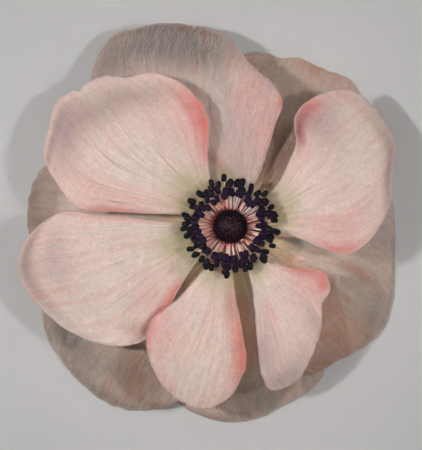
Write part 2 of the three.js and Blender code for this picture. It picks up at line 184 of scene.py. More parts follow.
def new_group(name, inputs, outputs):
    """A shader node group of numbers: its inputs' names and defaults, and its outputs' names."""
    tree = bpy.data.node_groups.new(name, "ShaderNodeTree")
    for label, default in inputs.items():
        socket = tree.interface.new_socket(label, in_out="INPUT", socket_type="NodeSocketFloat")
        socket.default_value = default
    for label in outputs:
        tree.interface.new_socket(label, in_out="OUTPUT", socket_type="NodeSocketFloat")
    return tree, tree.nodes.new("NodeGroupInput"), tree.nodes.new("NodeGroupOutput")


def new_finish(name):
    """A material with only its Principled shader and output."""
    material = bpy.data.materials.new(name)
    material.use_nodes = True
    tree = material.node_tree
    tree.nodes.clear()
    shader = tree.nodes.new("ShaderNodeBsdfPrincipled")
    output = tree.nodes.new("ShaderNodeOutputMaterial")
    tree.links.new(shader.outputs[0], output.inputs[0])
    return material, tree, shader


def dress(tree, shader, colour, height, depth, strength, **values):
    """Gives a shader its colour, a relief of that depth and its other values, by socket name."""
    relief = add(tree, "Bump", {"Height": height, "Distance": depth, "Strength": strength})
    tree.links.new(colour, shader.inputs["Base Color"])
    tree.links.new(relief.outputs[0], shader.inputs["Normal"])
    for label, value in values.items():
        shader.inputs[label.replace("_", " ")].default_value = value


def living_cells():
    """Plant skin: small round cells, with a slow drift of tone between patches. Height is the
    cells' relief and Patches the drift, both from 0 to 1."""
    tree, inside, outside = new_group(
        "Living cells",
        {"Cell size": 0.0003, "Patch size": 0.006}, ["Height", "Patches"])
    place = add(tree, "TexCoord").outputs["Object"]
    cell_scale = reckon(tree, "DIVIDE", 1.0, inside.outputs["Cell size"])
    patch_scale = reckon(tree, "DIVIDE", 1.0, inside.outputs["Patch size"])
    cells = add(tree, "TexVoronoi", {"Vector": place, "Scale": cell_scale},
                feature="SMOOTH_F1")
    patches = add(tree, "TexNoise", {"Vector": place, "Scale": patch_scale, "Detail": 3.0})
    dome = reckon(tree, "SUBTRACT", 1.0, cells.outputs["Distance"])
    tree.links.new(dome, outside.inputs["Height"])
    tree.links.new(patches.outputs["Fac"], outside.inputs["Patches"])
    return tree


CELLS = living_cells()


def green_finish(name, dark, pale, roughness):
    """Green tissue: two greens in drifting patches over a skin of small cells."""
    material, tree, shader = new_finish(name)
    cells = add(tree, "Group", {"Cell size": 0.00025, "Patch size": 0.0022}, node_tree=CELLS)
    colour = mix_colour(tree, cells.outputs["Patches"], dark, pale)
    dress(tree, shader, colour, cells.outputs["Height"], 0.00004, 0.7, Roughness=roughness,
          Subsurface_Weight=0.15, Subsurface_Radius=(0.6, 1.0, 0.3), Subsurface_Scale=0.0008)
    return material


def stem_surface():
    """A turned profile with shallow ribs: the radius at each height is a smooth run of the
    profile's radii times 1 + rib depth x cos(ribs x bearing)."""
    top = stem_high.z
    heights = np.array([0, 0.0001, 0.25, 0.5, 1.2, 2.0, 2.4, 2.7, 3.0, 3.3, 3.5, 3.9, 5.0, 6.5,
                        8.0, 8.5, 8.75, 8.9, 8.9001]) * MM * top / (8.9 * MM)
    radii = np.array([0, 2.0, 2.22, 2.28, 2.3, 2.28, 2.32, 2.5, 2.85, 3.3, 3.55, 3.68, 3.7, 3.7,
                      3.7, 3.66, 3.55, 3.3, 0]) * MM
    fine = np.linspace(0, 1, 60)
    known = np.linspace(0, 1, len(heights) - 2)
    height = np.interp(fine, known, heights[1:-1])
    radius = np.interp(fine, known, radii[1:-1])
    path = np.zeros((1, 62, 3))
    path[0, 1:-1, 2] = height
    path[0, -1, 2] = top
    path += AXIS
    turn = round_turn(STEM_SIDES)
    ribs = 1 - 0.035 * smooth_step(3.2 * MM, 2.2 * MM, height)[:, None] * (
        0.5 - 0.5 * np.cos(STEM_RIBS * turn)) ** 2
    return rods(path, (radius[:, None] * ribs)[None], np.array([[0.0, 1.0, 0.0]]))


stem_finish = green_finish("Stem green", STEM_GREEN, STEM_PALE, 0.5)
make_piece("stem_skin", *stem_surface()[:2], stem_finish, "stem", "stem")

# ---- Sepals ----
# Five small green leaves stand round the receptacle under the petals. Each is a boat-shaped blade
# with a keel and a thin pale margin, and it bends back a little from its foot.

SEPAL_COUNT = 5
FOOT_RADIUS = 4.0 * MM
SEPAL_LENGTH = 9.5 * MM
SEPAL_HALF_WIDTH = 2.7 * MM
SEPAL_FOOT_HALF_WIDTH = 1.3 * MM
SEPAL_TIP_HALF_WIDTH = 0.3 * MM
SEPAL_FOOT_HEIGHT = 3.9 * MM
SEPAL_FALL = 1.7 * MM
SEPAL_CUP = 0.5 * MM
SEPAL_KEEL = 0.18 * MM
SEPAL_HALF_THICKNESS = 0.25 * MM
SEPAL_FIRST_BEARING = 30
SEPAL_COLUMNS = 40
SEPAL_ROWS = 60
SEPAL_GREEN = "#75813f"
SEPAL_PALE = "#b3b67c"


def heading(degrees):
    """Unit vector in the plane at a bearing, anticlockwise from +X."""
    angle = np.radians(degrees)
    return np.stack([np.cos(angle), np.sin(angle)], axis=-1)


def from_axis(pairs):
    """Points in the plane, each given as a bearing and a distance from the axis in millimetres."""
    bearings, distances = np.array(pairs, float).T
    return distances[:, None] * MM * heading(bearings)


def blade(plan, middle, half):
    """A closed thin blade. plan is rows x columns x 2, and the upper and lower faces are its middle
    height plus and minus half its thickness there. Returns vertices, faces and, for each vertex,
    its share across and its share out."""
    rows, columns = middle.shape
    upper = np.dstack([plan, middle + half]).reshape(-1, 3)
    lower = np.dstack([plan, middle - half]).reshape(-1, 3)
    place = np.arange(rows * columns).reshape(rows, columns)
    a, b, c, d = place[:-1, :-1], place[:-1, 1:], place[1:, 1:], place[1:, :-1]
    top = np.stack([a, b, c, d], axis=-1).reshape(-1, 4)
    under = rows * columns
    bottom = top[:, ::-1] + under
    rim = np.concatenate([place[0, :-1], place[:-1, -1], place[-1, :0:-1], place[:0:-1, 0]])
    after = np.roll(rim, -1)
    wall = np.stack([rim + under, after + under, after, rim], axis=-1)
    out, across = np.meshgrid(np.linspace(0, 1, rows), np.linspace(0, 1, columns), indexing="ij")
    shares = np.stack([across, out], axis=-1).reshape(-1, 2)
    faces = np.concatenate([top, bottom, wall]).tolist()
    return np.concatenate([upper, lower]), faces, np.tile(shares, (2, 1))


def sepal_surface(bearing):
    """A blade whose half width is a straight taper plus a half sine, whose spine falls with the
    square of the way out, and whose sides rise with the square of the way aside. A keel, a narrow
    bell curve across, thickens it below, and it thins out towards its margin."""
    out = np.linspace(0, 1, SEPAL_ROWS)[:, None]
    aside = np.linspace(-1, 1, SEPAL_COLUMNS)[None, :]
    taper = SEPAL_FOOT_HALF_WIDTH + (SEPAL_TIP_HALF_WIDTH - SEPAL_FOOT_HALF_WIDTH) * out
    mean = (SEPAL_FOOT_HALF_WIDTH + SEPAL_TIP_HALF_WIDTH) / 2
    width = taper + (SEPAL_HALF_WIDTH - mean) * np.sin(np.pi * out)
    forward, side = heading(bearing), heading(bearing - 90)
    distance = FOOT_RADIUS + SEPAL_LENGTH * out
    plan = AXIS[:2] + distance[..., None] * forward + (aside * width)[..., None] * side
    beside = aside * width / SEPAL_HALF_WIDTH
    middle = SEPAL_FOOT_HEIGHT - SEPAL_FALL * out ** 2 + SEPAL_CUP * beside ** 2 * np.minimum(2 * out, 1)
    ripple = 0.06 * MM * np.sin(9 * out + 5 * aside + bearing) * np.sin(np.pi * out)
    keel = SEPAL_KEEL * np.exp(-(aside / 0.12) ** 2) * (1 - out)
    half = SEPAL_HALF_THICKNESS * (1 - 0.6 * np.abs(aside) ** 3) * (1 - 0.5 * out ** 4)
    return blade(plan, middle + ripple - keel / 2, half + keel / 2)


sepal_finish = green_finish("Sepal green", SEPAL_GREEN, SEPAL_PALE, 0.6)
for number in range(SEPAL_COUNT):
    vertices, faces, shares = sepal_surface(SEPAL_FIRST_BEARING + number * 360 / SEPAL_COUNT)
    node = f"sepal_{number + 1}"
    make_piece(f"{node}_blade", vertices, faces, sepal_finish, node, "sepal", shares)

# ---- Outer petals ----
# Five broad, thin petals form the lower whorl. Each grows from a narrow foot on the receptacle,
# lies almost flat and droops until its margin rests. They are the duller, greyer ones, partly
# through painted shade.

PETAL_COLUMNS = 150
PETAL_ROWS = 110
REST_HEIGHT = 0.375 * MM
REST_BLEND = 0.6 * MM
CUP_WIDTH = 15 * MM
FOOT_SHARE = 0.4
PETAL_HALF_THICKNESS = 0.17 * MM
PETAL_MARGIN_SHARE = 0.35
FLUTE_HEIGHT = 0.05 * MM
PLEAT_HEIGHT = 0.03 * MM
CRINKLE_HEIGHT = 0.05 * MM
FRILL_HEIGHT = 0.08 * MM
FRILL_DEPTH = 2.6 * MM
RIPPLE_DEPTH = 0.10 * MM
RIPPLE_REACH = 1.5 * MM
PLEATS_ACROSS = 15
FRILLS_ROUND = 34
MARGIN_TAPER = 1.6 * MM
FOOT_THICKENING = 0.5
TABLE_CLEARANCE = 0.02 * MM
FLECK_REACH = 5 * MM
RIM_WIDTH = 0.32 * MM
OUTER_SEED = 11
UNDERSIDE_PAINT = 0.35
SHADE_EDGE = 0.35 * MM
SHADE_WARMTH = (0.62, 0.46, 0.38)
SPOT_COLOURS = {
    "ivory": "#e0cbbf", "rose": "#d9a19f", "coral": "#d26a64", "crimson": "#8f3c3c",
    # slate is painted shade near the margins, laid over the petals' own grey.
    # smoke is painted shade along the margins, where the light falls off towards the rims.
    "violet": "#94858a", "sage": "#93857a", "slate_shade": "#6a6967", "smoke_shade": "#433f3d",
    # rust is the petals' own rust-brown streaks, and on inner petal 2 also painted shadow.
    # umber is painted shadow on the outer petals, where petals above shut out the light.
    "lime": "#a9a576", "olive": "#7d6f3c", "umber": "#7c5a41", "rust": "#9c5b40",
    # amber is painted warm light in shaded gaps, standing in for light through the petals above.
    "amber_glow": "#e0966c",
}

# An outline runs clockwise from one side of the foot to the other, each point a bearing and a
# distance from the axis in millimetres. A spot is a soft patch of a colour: where it lies across
# and out, how far it spreads across and out, and its strength. A crease is a line of points,
# each a bearing and a distance, with a depth and a half width in millimetres. A nick is a place
# across the margin, a depth and a half width in millimetres. net is how white the fine veins are.
# A shade is where a petal above shuts out the light: a depth and corners, clockwise. The five
# numbers of a spot are in hundredths. Each petal has its whorl's usual values where it gives none.
# The outer whorl's ground is darker than the inner whorl's: partly the outer petals' own duller tone, partly
# painted shade.
OUTER_USUAL = dict(foot=6.2, cup=0.2, curl=-0.1, ground="#b9a297", fan=0.3, waves=7)
OUTER_PETALS = {
    "outer_petal_1": dict(
        outline=[(67, 4), (76, 9.6), (86, 17.3), (90, 25.8), (90, 33.4), (86, 38.6), (80, 40.1),
        (73, 39.9), (68, 41.2), (59, 41.5), (51, 42.9), (44, 41.6), (36, 37.4), (31, 30.1), (29, 20),
        (28, 10.2), (32, 4)], shoulders=(5, 11.5), bearing=58, reach=39.5, rise=2.6, droop=14.6, tilt=0,
        cup=0.3, ruffle=0.5, waves=9, phase=0.3, rim="#b89484", net=0.1, fan=0.35,
        spots=[("umber", 54, 46, 26, 21, 65), ("umber", 65, 30, 30, 7, 50),
               ("rust", 56, 99, 10, 6, 45)]),
    "outer_petal_2": dict(
        outline=[(355, 4.1), (9, 10.3), (13, 18.5), (15, 26.8), (15, 33.1), (11, 37), (359, 37.5),
        (348, 38.2), (337, 40.1), (327, 41.8), (317, 40.7), (307, 38.9), (300, 38.4), (297, 34.7),
        (296, 28), (297, 19), (301, 10.9), (319, 3.9)], shoulders=(5.6, 12), bearing=335, reach=38.5,
        rise=3.7, droop=13, tilt=-0.07, ruffle=0.4, phase=2.2, rim="#cfc2b8", net=0.45,
        creases=[([(342, 22), (341, 29), (338, 36.2)], 0.3, 0.7), ([(331, 18), (329, 25), (327, 33)],
        0.16, 0.9)], nicks=[(0.3, 0.5, 0.7)], shades=[(0.55, [(335, 21.8), (333, 26.2), (323, 32.2),
        (315, 39), (311, 41.1), (292, 42), (313, 19.6)])],
        spots=[("ivory", 47, 26, 20, 11, 90), ("ivory", 41, 48, 11, 14, 45),
               ("violet", 18, 82, 8, 20, 45), ("rust", 41, 70, 3, 16, 55), ("slate_shade", 54, 93, 10, 10, 55),
               ("smoke_shade", 33, 100, 27, 4, 55), ("rust", 93, 94, 11, 10, 50), ("lime", 51, 20, 16, 3, 40),
               ("amber_glow", 69, 74, 10, 23, 45), ("amber_glow", 54, 32, 13, 8, 40)]),
    "outer_petal_3": dict(
        outline=[(297, 3.9), (302, 11), (304, 20), (305, 28.9), (305, 36.1), (303, 39.4), (296, 41.4),
        (288, 42.2), (279, 43.8), (271, 44.4), (263, 43.7), (254, 41.7), (250, 38.8), (247, 32.7),
        (246, 24.3), (247, 15.5), (250, 8.5), (262, 4)], shoulders=(5.5, 10.5), bearing=280, foot=5.2,
        reach=40.5, rise=1.1, droop=10.2, tilt=0.03, ruffle=0.35, phase=0.9, rim="#b9aaa0", net=0.42,
        shades=[(0.22, [(263, 9.8), (287, 12.1), (282, 22), (280, 31.6), (274, 40.2), (265, 41.8),
        (256, 17)]), (0.35, [(286, 33.4), (299, 32.9), (300, 38.1), (291, 41.5), (287, 38.3)])],
        spots=[("slate_shade", 45, 86, 20, 12, 60), ("smoke_shade", 69, 98, 43, 4, 50), ("olive", 38, 21, 16, 4, 50),
               ("amber_glow", 47, 37, 11, 23, 60)]),
    "outer_petal_4": dict(
        outline=[(250, 4), (255, 11.3), (258, 19.2), (259, 27.2), (258, 34.9), (253, 41.7), (246, 45.6),
        (238, 48.3), (229, 49), (220, 48.8), (211, 48.4), (204, 46.5), (200, 43.1), (198, 36.7),
        (198, 28.4), (201, 19.3), (207, 10.1), (214, 4.1)], shoulders=(5, 10.5), bearing=228, reach=45,
        rise=3.8, droop=13.8, tilt=0.07, ruffle=0.4, phase=2.6, rim="#a99d96", net=0.45, shades=[(0.4,
        [(228, 37.6), (230, 31.3), (238, 27.4), (249, 44.1), (239, 45.9), (234, 43.4)])],
        spots=[("slate_shade", 78, 86, 15, 10, 75), ("slate_shade", 59, 87, 17, 11, 50),
               ("umber", 35, 78, 12, 14, 50), ("smoke_shade", 39, 98, 38, 4, 60), ("olive", 57, 23, 10, 5, 50),
               ("amber_glow", 41, 26, 14, 7, 40)]),
    "outer_petal_5": dict(
        outline=[(185, 4.1), (188, 9.1), (192, 18.4), (194, 27.8), (193, 35.8), (189, 42.1),
        (183, 45.3), (176, 46), (168, 45.7), (162, 44.1), (158, 39.4), (156, 32.1), (154, 22.5),
        (152, 12.7), (152, 4.1)], shoulders=(5, 9), bearing=172, reach=42, rise=3.7, droop=15,
        tilt=0.04, ruffle=0.5, waves=9, phase=0, rim="#a08c80", net=0.12,
        spots=[("umber", 41, 86, 7, 11, 60), ("ivory", 55, 71, 7, 7, 45), ("olive", 53, 25, 11, 9, 60),
               ("smoke_shade", 60, 97, 25, 6, 45)]),
}


def run_of(points, place):
    """Points of a centripetal Catmull-Rom curve at places along its list of points. Each stretch
    is weighed by the square roots of the chords round it."""
    points = np.asarray(points, float)
    last = len(points) - 1
    extended = np.vstack([2 * points[0] - points[1], points, 2 * points[-1] - points[-2]])
    place = np.clip(place, 0, last)
    start = np.minimum(place.astype(int), last - 1)
    w = (place - start)[..., None]
    p0, p1, p2, p3 = (extended[start + k] for k in range(4))
    knot = [np.maximum(((b - a) ** 2).sum(-1, keepdims=True) ** 0.25, 1e-7)
            for a, b in ((p0, p1), (p1, p2), (p2, p3))]
    leave = ((p1 - p0) / knot[0] - (p2 - p0) / (knot[0] + knot[1]) + (p2 - p1) / knot[1]) * knot[1]
    arrive = ((p2 - p1) / knot[1] - (p3 - p1) / (knot[1] + knot[2]) + (p3 - p2) / knot[2]) * knot[1]
    return (p1 + leave * w + (3 * (p2 - p1) - 2 * leave - arrive) * w ** 2
            + (2 * (p1 - p2) + leave + arrive) * w ** 3)


def petal_plan(petal, across, out):
    """The outline filled in: the blend of its two sides and of its foot and margin, less the blend
    of its four corners. The foot is an arc about the axis."""
    bearings, distances = np.array(petal["outline"], float).T
    points = from_axis(petal["outline"])
    last = len(points) - 1
    left, right = petal["shoulders"]
    turned = (bearings[0] - bearings[-1]) % 360
    foot_distance = (distances[0] + (distances[-1] - distances[0]) * across) * MM
    foot = foot_distance[..., None] * heading(bearings[0] - turned * across)
    a, o = across[..., None], out[..., None]
    corner = run_of(points, np.array([left, right], float))
    return ((1 - a) * run_of(points, left * out) + a * run_of(points, last - (last - right) * out)
            + (1 - o) * foot + o * run_of(points, left + (right - left) * across)
            - (1 - a) * (1 - o) * points[0] - a * (1 - o) * points[-1]
            - (1 - a) * o * corner[0] - a * o * corner[1])


def petal_height(petal, plan):
    """The spine rises and then droops with the cube of the way out. Across, the blade tilts, and
    cups with the square of the way aside. A sine round the axis ruffles it more the further out
    it is. Where it would sink below its resting height it lies flat."""
    distance = np.hypot(plan[..., 0], plan[..., 1])
    turn = np.arctan2(plan[..., 1], plan[..., 0]) - np.radians(petal["bearing"])
    turn = (turn + np.pi) % (2 * np.pi) - np.pi
    out = np.maximum(distance - FOOT_RADIUS, 0) / (petal["reach"] * MM)
    beside = distance * np.sin(turn)
    share = np.minimum(out / FOOT_SHARE, 1)
    spine = petal["foot"] + petal["rise"] * out - petal["droop"] * out ** 3
    tilt = petal["tilt"] * beside / MM
    cup = petal["cup"] * (beside / CUP_WIDTH) ** 2
    ruffle = petal["ruffle"] * out ** 2 * np.sin(petal["waves"] * turn + petal["phase"])
    height = (spine + (tilt + cup) * share + ruffle) * MM
    above = height - REST_HEIGHT
    blended = REST_HEIGHT + (above + REST_BLEND) ** 2 / (4 * REST_BLEND)
    return np.where(above > REST_BLEND, height, np.where(above < -REST_BLEND, REST_HEIGHT, blended))


def bell(value):
    """exp(-x^2), which is 1 at 0 and fades out past 1."""
    return np.exp(-value ** 2)


def waves_of(place, draw, count, fewest, most):
    """Sum of sines along a parameter with drawn rates and phases, about -1 to 1."""
    total = np.zeros_like(place)
    for _ in range(count):
        total += np.sin(2 * np.pi * draw.uniform(fewest, most) * place + draw.uniform(0, 2 * np.pi))
    return total / math.sqrt(count)


def crinkles(plan, draw, count, shortest, longest):
    """Sum of plane waves with drawn directions, lengths and phases, about -1 to 1."""
    total = np.zeros(plan.shape[:2])
    for _ in range(count):
        toward = heading(draw.uniform(0, 180)) / draw.uniform(shortest, longest)
        total += np.sin(2 * np.pi * plan @ toward + draw.uniform(0, 2 * np.pi))
    return total / math.sqrt(count)


def crease_depth(plan, crease):
    """A groove along a line of points: its depth times the bell of the distance to the nearest
    stretch of the line, over its half width."""
    points, depth, half_width = crease
    line = from_axis(points)
    nearest = np.full(plan.shape[:2], np.inf)
    for start, end in zip(line[:-1], line[1:]):
        share = np.clip((plan - start) @ (end - start) / ((end - start) @ (end - start)), 0, 1)
        nearest = np.minimum(nearest, np.linalg.norm(plan - start - share[..., None] * (end - start), axis=2))
    return depth * MM * bell(nearest / (half_width * MM))


def unit_steps(plan, axis):
    """Unit vectors along one direction of the grid."""
    step = np.gradient(plan, axis=axis)
    return step / np.maximum(np.linalg.norm(step, axis=2, keepdims=True), 1e-9)


def rough_margin(petal, plan, across, out, width, length, draw):
    """The margin isn't a clean cut: small waves move it in and out in its own plane, fading a
    little way in from it, and nicks cut it."""
    aside, ahead = unit_steps(plan, 1), unit_steps(plan, 0)
    fade = smooth_step(0.2, 0.5, out)
    left = waves_of(out, draw, 5, 2, 11) * bell(across * width / RIPPLE_REACH) * fade
    right = waves_of(out, draw, 5, 2, 11) * bell((1 - across) * width / RIPPLE_REACH) * fade
    top = waves_of(across, draw, 6, 3, 15) * bell((1 - out) * length / RIPPLE_REACH)
    plan = plan + RIPPLE_DEPTH * ((right - left)[..., None] * aside + top[..., None] * ahead)
    for place, depth, half_width in petal.get("nicks", ()):
        cut = bell((across - place) * width / (half_width * MM)) * bell((1 - out) * length / (2 * depth * MM))
        plan = plan - depth * MM * cut[..., None] * ahead
    return plan


def paint_petal(petal, across, out):
    """The blade's colour at each point, as linear numbers: the ground, then each spot laid over it
    by its strength times two bells. The fourth number is how white the fine veins are."""
    tint = np.empty(across.shape + (4,))
    tint[...] = linear(petal["ground"])
    for colour, *hundredths in petal["spots"]:
        a, o, spread_a, spread_o, strength = (number / 100 for number in hundredths)
        amount = strength * bell((across - a) / spread_a) * bell((out - o) / spread_o)
        tint += amount[..., None] * (np.array(linear(SPOT_COLOURS[colour])) - tint)
    tint[..., 3] = petal["net"] * smooth_step(0.35, 0.75, out)
    return tint


def shaded(tint, petal, plan):
    """The tint darkened and warmed where a petal above shuts out the light. Each shade is a convex
    patch: a depth and its corners, and its share is the product of a soft step over every side."""
    for depth, corners in petal.get("shades", ()):
        points = from_axis(corners)
        share = np.full(plan.shape[:2], depth)
        for start, end in zip(points, np.roll(points, -1, axis=0)):
            run = (end - start) / np.linalg.norm(end - start)
            inward = (plan - start) @ np.array([run[1], -run[0]])
            share *= smooth_step(-SHADE_EDGE, SHADE_EDGE, inward)
        tint[..., :3] *= 1 - share[..., None] * (1 - np.array(SHADE_WARMTH))
    return tint


def petal_surface(petal, seed):
    """The petal's plan and height, with pleats at its foot, flutes that follow the veins, crinkles,
    creases, a frilled and curled margin, and a thickness that thins towards the margin. Also gives
    its colours and its marks, which are the foot, the flecks near the margin, the fan of veins and
    the rim."""
    draw = np.random.default_rng(seed)
    out, across = np.meshgrid(np.linspace(0, 1, PETAL_ROWS), np.linspace(0, 1, PETAL_COLUMNS),
                              indexing="ij")
    plan = petal_plan(petal, across, out)
    width = np.linalg.norm(np.diff(plan, axis=1), axis=2).sum(axis=1)[:, None]
    length = np.linalg.norm(np.diff(plan, axis=0), axis=2).sum(axis=0)[None, :]
    plan = rough_margin(petal, plan, across, out, width, length, draw)
    middle = petal_height(petal, plan)
    from_side = np.maximum(np.minimum(across, 1 - across) * width, 1e-6)
    from_margin = np.maximum((1 - out) * length, 1e-6)
    edge = 1 / np.sqrt(1 / from_side ** 2 + 1 / from_margin ** 2)
    near_edge = bell(edge / FRILL_DEPTH) * smooth_step(0.15, 0.45, out)
    pleats = np.sin(2 * np.pi * PLEATS_ACROSS * across + 3 * out) * bell((out - 0.14) / 0.16)
    flutes = waves_of(across + 0.01 * np.sin(7 * out + seed), draw, 7, 3, 13) * smooth_step(0.2, 0.7, out)
    rough = crinkles(plan, draw, 12, 1.6 * MM, 3.2 * MM) + crinkles(plan, draw, 8, 3 * MM, 7 * MM)
    turn = np.arctan2(plan[..., 1], plan[..., 0])
    frill = np.sin(FRILLS_ROUND * turn + 2.5 * crinkles(plan, draw, 4, 9 * MM, 20 * MM)) * near_edge
    middle += PLEAT_HEIGHT * pleats + FLUTE_HEIGHT * flutes + FRILL_HEIGHT * frill
    middle += CRINKLE_HEIGHT * rough * smooth_step(0.1, 0.5, out) + petal["curl"] * MM * near_edge
    for crease in petal.get("creases", ()):
        middle -= crease_depth(plan, crease)
    edge_share = smooth_step(0, MARGIN_TAPER, edge)
    half = PETAL_HALF_THICKNESS * (PETAL_MARGIN_SHARE + (1 - PETAL_MARGIN_SHARE) * edge_share)
    half *= 1 + FOOT_THICKENING * smooth_step(0.2, 0.0, out)
    middle = np.maximum(middle, half + TABLE_CLEARANCE)
    foot = smooth_step(0.45, 0.06, out + 0.025 * waves_of(across, draw, 5, 6, 20))
    flecks = bell(edge / FLECK_REACH) * smooth_step(0.3, 0.6, out) * (0.25 + petal["net"])
    fan = petal["fan"] * smooth_step(0.12, 0.3, out) * smooth_step(0.9, 0.45, out)
    rim = bell(edge / RIM_WIDTH) * smooth_step(0.15, 0.35, out)
    marks = np.dstack([foot, flecks, fan, rim]).reshape(-1, 4)
    paint = paint_petal(petal, across, out)
    beneath = paint + (1 - UNDERSIDE_PAINT) * (np.array(linear(petal["ground"])) - paint) * (1, 1, 1, 0)
    tint = np.stack([shaded(paint, petal, plan), beneath]).reshape(-1, 4)
    vertices, faces, shares = blade(AXIS[:2] + plan, middle, half)
    return vertices, faces, shares, tint, np.tile(marks, (2, 1))


def ramp(tree, value, low, high, start=0.0, end=1.0):
    """The value's way from low to high, as a number from start to end."""
    return add(tree, "MapRange", {"Value": value, "From Min": low, "From Max": high,
                                  "To Min": start, "To Max": end}).outputs[0]


WAVE_RATE = 0.314          # a wave texture runs about three waves a unit of its scale
BOLD_SHARE, HAIR_SHARE = 0.6, 0.65
PATTERNS = ("Fibre", "Streaks", "Fan", "Net", "Flecks")


def blade_patterns():
    """Patterns that run along a blade, from its shares across and out. Fibre and Streaks are fine
    and broad noise stretched along the blade. Fan is a few long thin lines. Net is the stronger of
    a few bold lines and many hairlines at a wave's crests, both slanting two ways. Flecks is where
    a shorter noise is strong."""
    tree, inside, outside = new_group(
        "Blade patterns", {"Seed": 0.0, "Veins across": 78.0}, PATTERNS)
    seed = inside.outputs["Seed"]
    shares = add(tree, "SeparateXYZ", {0: add(tree, "UVMap", uv_map="Blade").outputs[0]})

    def stretched(times_across, times_out, shift, slant=None, sway=None):
        """The shares scaled unequally, with the seed as their third number. With a slant the
        lines lean aside and sway as they go out."""
        across, out, _ = shares.outputs
        if slant is not None:
            across = reckon(tree, "ADD", across, reckon(tree, "ADD", times(tree, out, slant), sway))
        return add(tree, "CombineXYZ", {
            0: times(tree, across, times_across), 1: times(tree, out, times_out),
            2: reckon(tree, "ADD", seed, shift)}).outputs[0]

    def noise(place, detail):
        """Noise at a stretched place."""
        return add(tree, "TexNoise", {"Vector": place, "Scale": 1.0, "Detail": detail,
                                      "Roughness": 0.55}).outputs["Fac"]

    def crossings(place, half_width):
        """Thin lines where noise crosses its middle value."""
        away = reckon(tree, "ABSOLUTE", reckon(tree, "SUBTRACT", noise(place, 0.0), 0.5))
        return ramp(tree, away, 0.0, half_width, 1.0, 0.0)

    fibre = noise(stretched(95.0, 7.0, 0.0), 3.0)
    streaks = noise(stretched(26.0, 1.3, 5.0), 2.0)
    fan = crossings(stretched(17.0, 0.45, 9.0), 0.020)
    flecks = ramp(tree, noise(stretched(60.0, 14.0, 13.0), 2.0), 0.54, 0.70)

    def hairs(times_across, times_out, slant, shift):
        """Fine lines side by side at the crests of a wave, swaying a little as they go out."""
        sway = times(tree, noise(stretched(14.0, 12.0, shift + 1.0), 1.0), 0.05)
        crest = add(tree, "TexWave", {
            "Vector": stretched(times_across, times_out, shift, slant, sway), "Scale": 1.0,
            "Distortion": 3.0, "Detail": 1.0, "Detail Scale": 1.5}).outputs["Fac"]
        broken = ramp(tree, noise(stretched(70.0, 9.0, shift + 2.0), 1.0), 0.40, 0.62)
        return times(tree, broken, ramp(tree, crest, 0.55, 1.0))

    hair_scale = times(tree, inside.outputs["Veins across"], WAVE_RATE)
    sway = times(tree, noise(stretched(9.0, 9.0, 36.0), 1.0), 0.10)
    bold = reckon(tree, "MAXIMUM", *(crossings(stretched(6.0, 0.7, shift, slant, sway), 0.006)
                                     for shift, slant in ((21.0, 0.20), (24.0, -0.20))))
    hair = reckon(tree, "MAXIMUM", hairs(hair_scale, 9.0, 0.05, 27.0), hairs(hair_scale, 9.0, -0.06, 30.0))
    come_and_go = ramp(tree, noise(stretched(6.0, 6.0, 33.0), 1.0), 0.40, 0.60, 0.45, 1.0)
    net = times(tree, come_and_go, reckon(tree, "MAXIMUM", times(tree, bold, BOLD_SHARE),
                                          times(tree, hair, HAIR_SHARE)))
    for label, value in zip(PATTERNS, (fibre, streaks, fan, net, flecks)):
        tree.links.new(value, outside.inputs[label])
    return tree


BLADE_PATTERNS = blade_patterns()
# The outer petals' foot colours are paler and warmer than their own tone: painted light in the shaded gaps
# where they show.
OUTER_FOOT_PAINTED_LIGHT = ("#d0a06c", "#f0d2a6")
INNER_FOOT = ("#9c9361", "#b3ae82")
# Painted shade at the innermost foot, under the stamens, where the petals' bases lie in shade.
FOOT_PAINTED_SHADE = "#7a5c34"
FAN_TINT = "#e0bdb4"
BLUSH = "#ffdcd6"
NET_WHITE = "#d9d4ca"
FLECK_WHITENESS = 0.22
RIM_STRENGTH = 0.6
FIBRE_RELIEF = 3.0


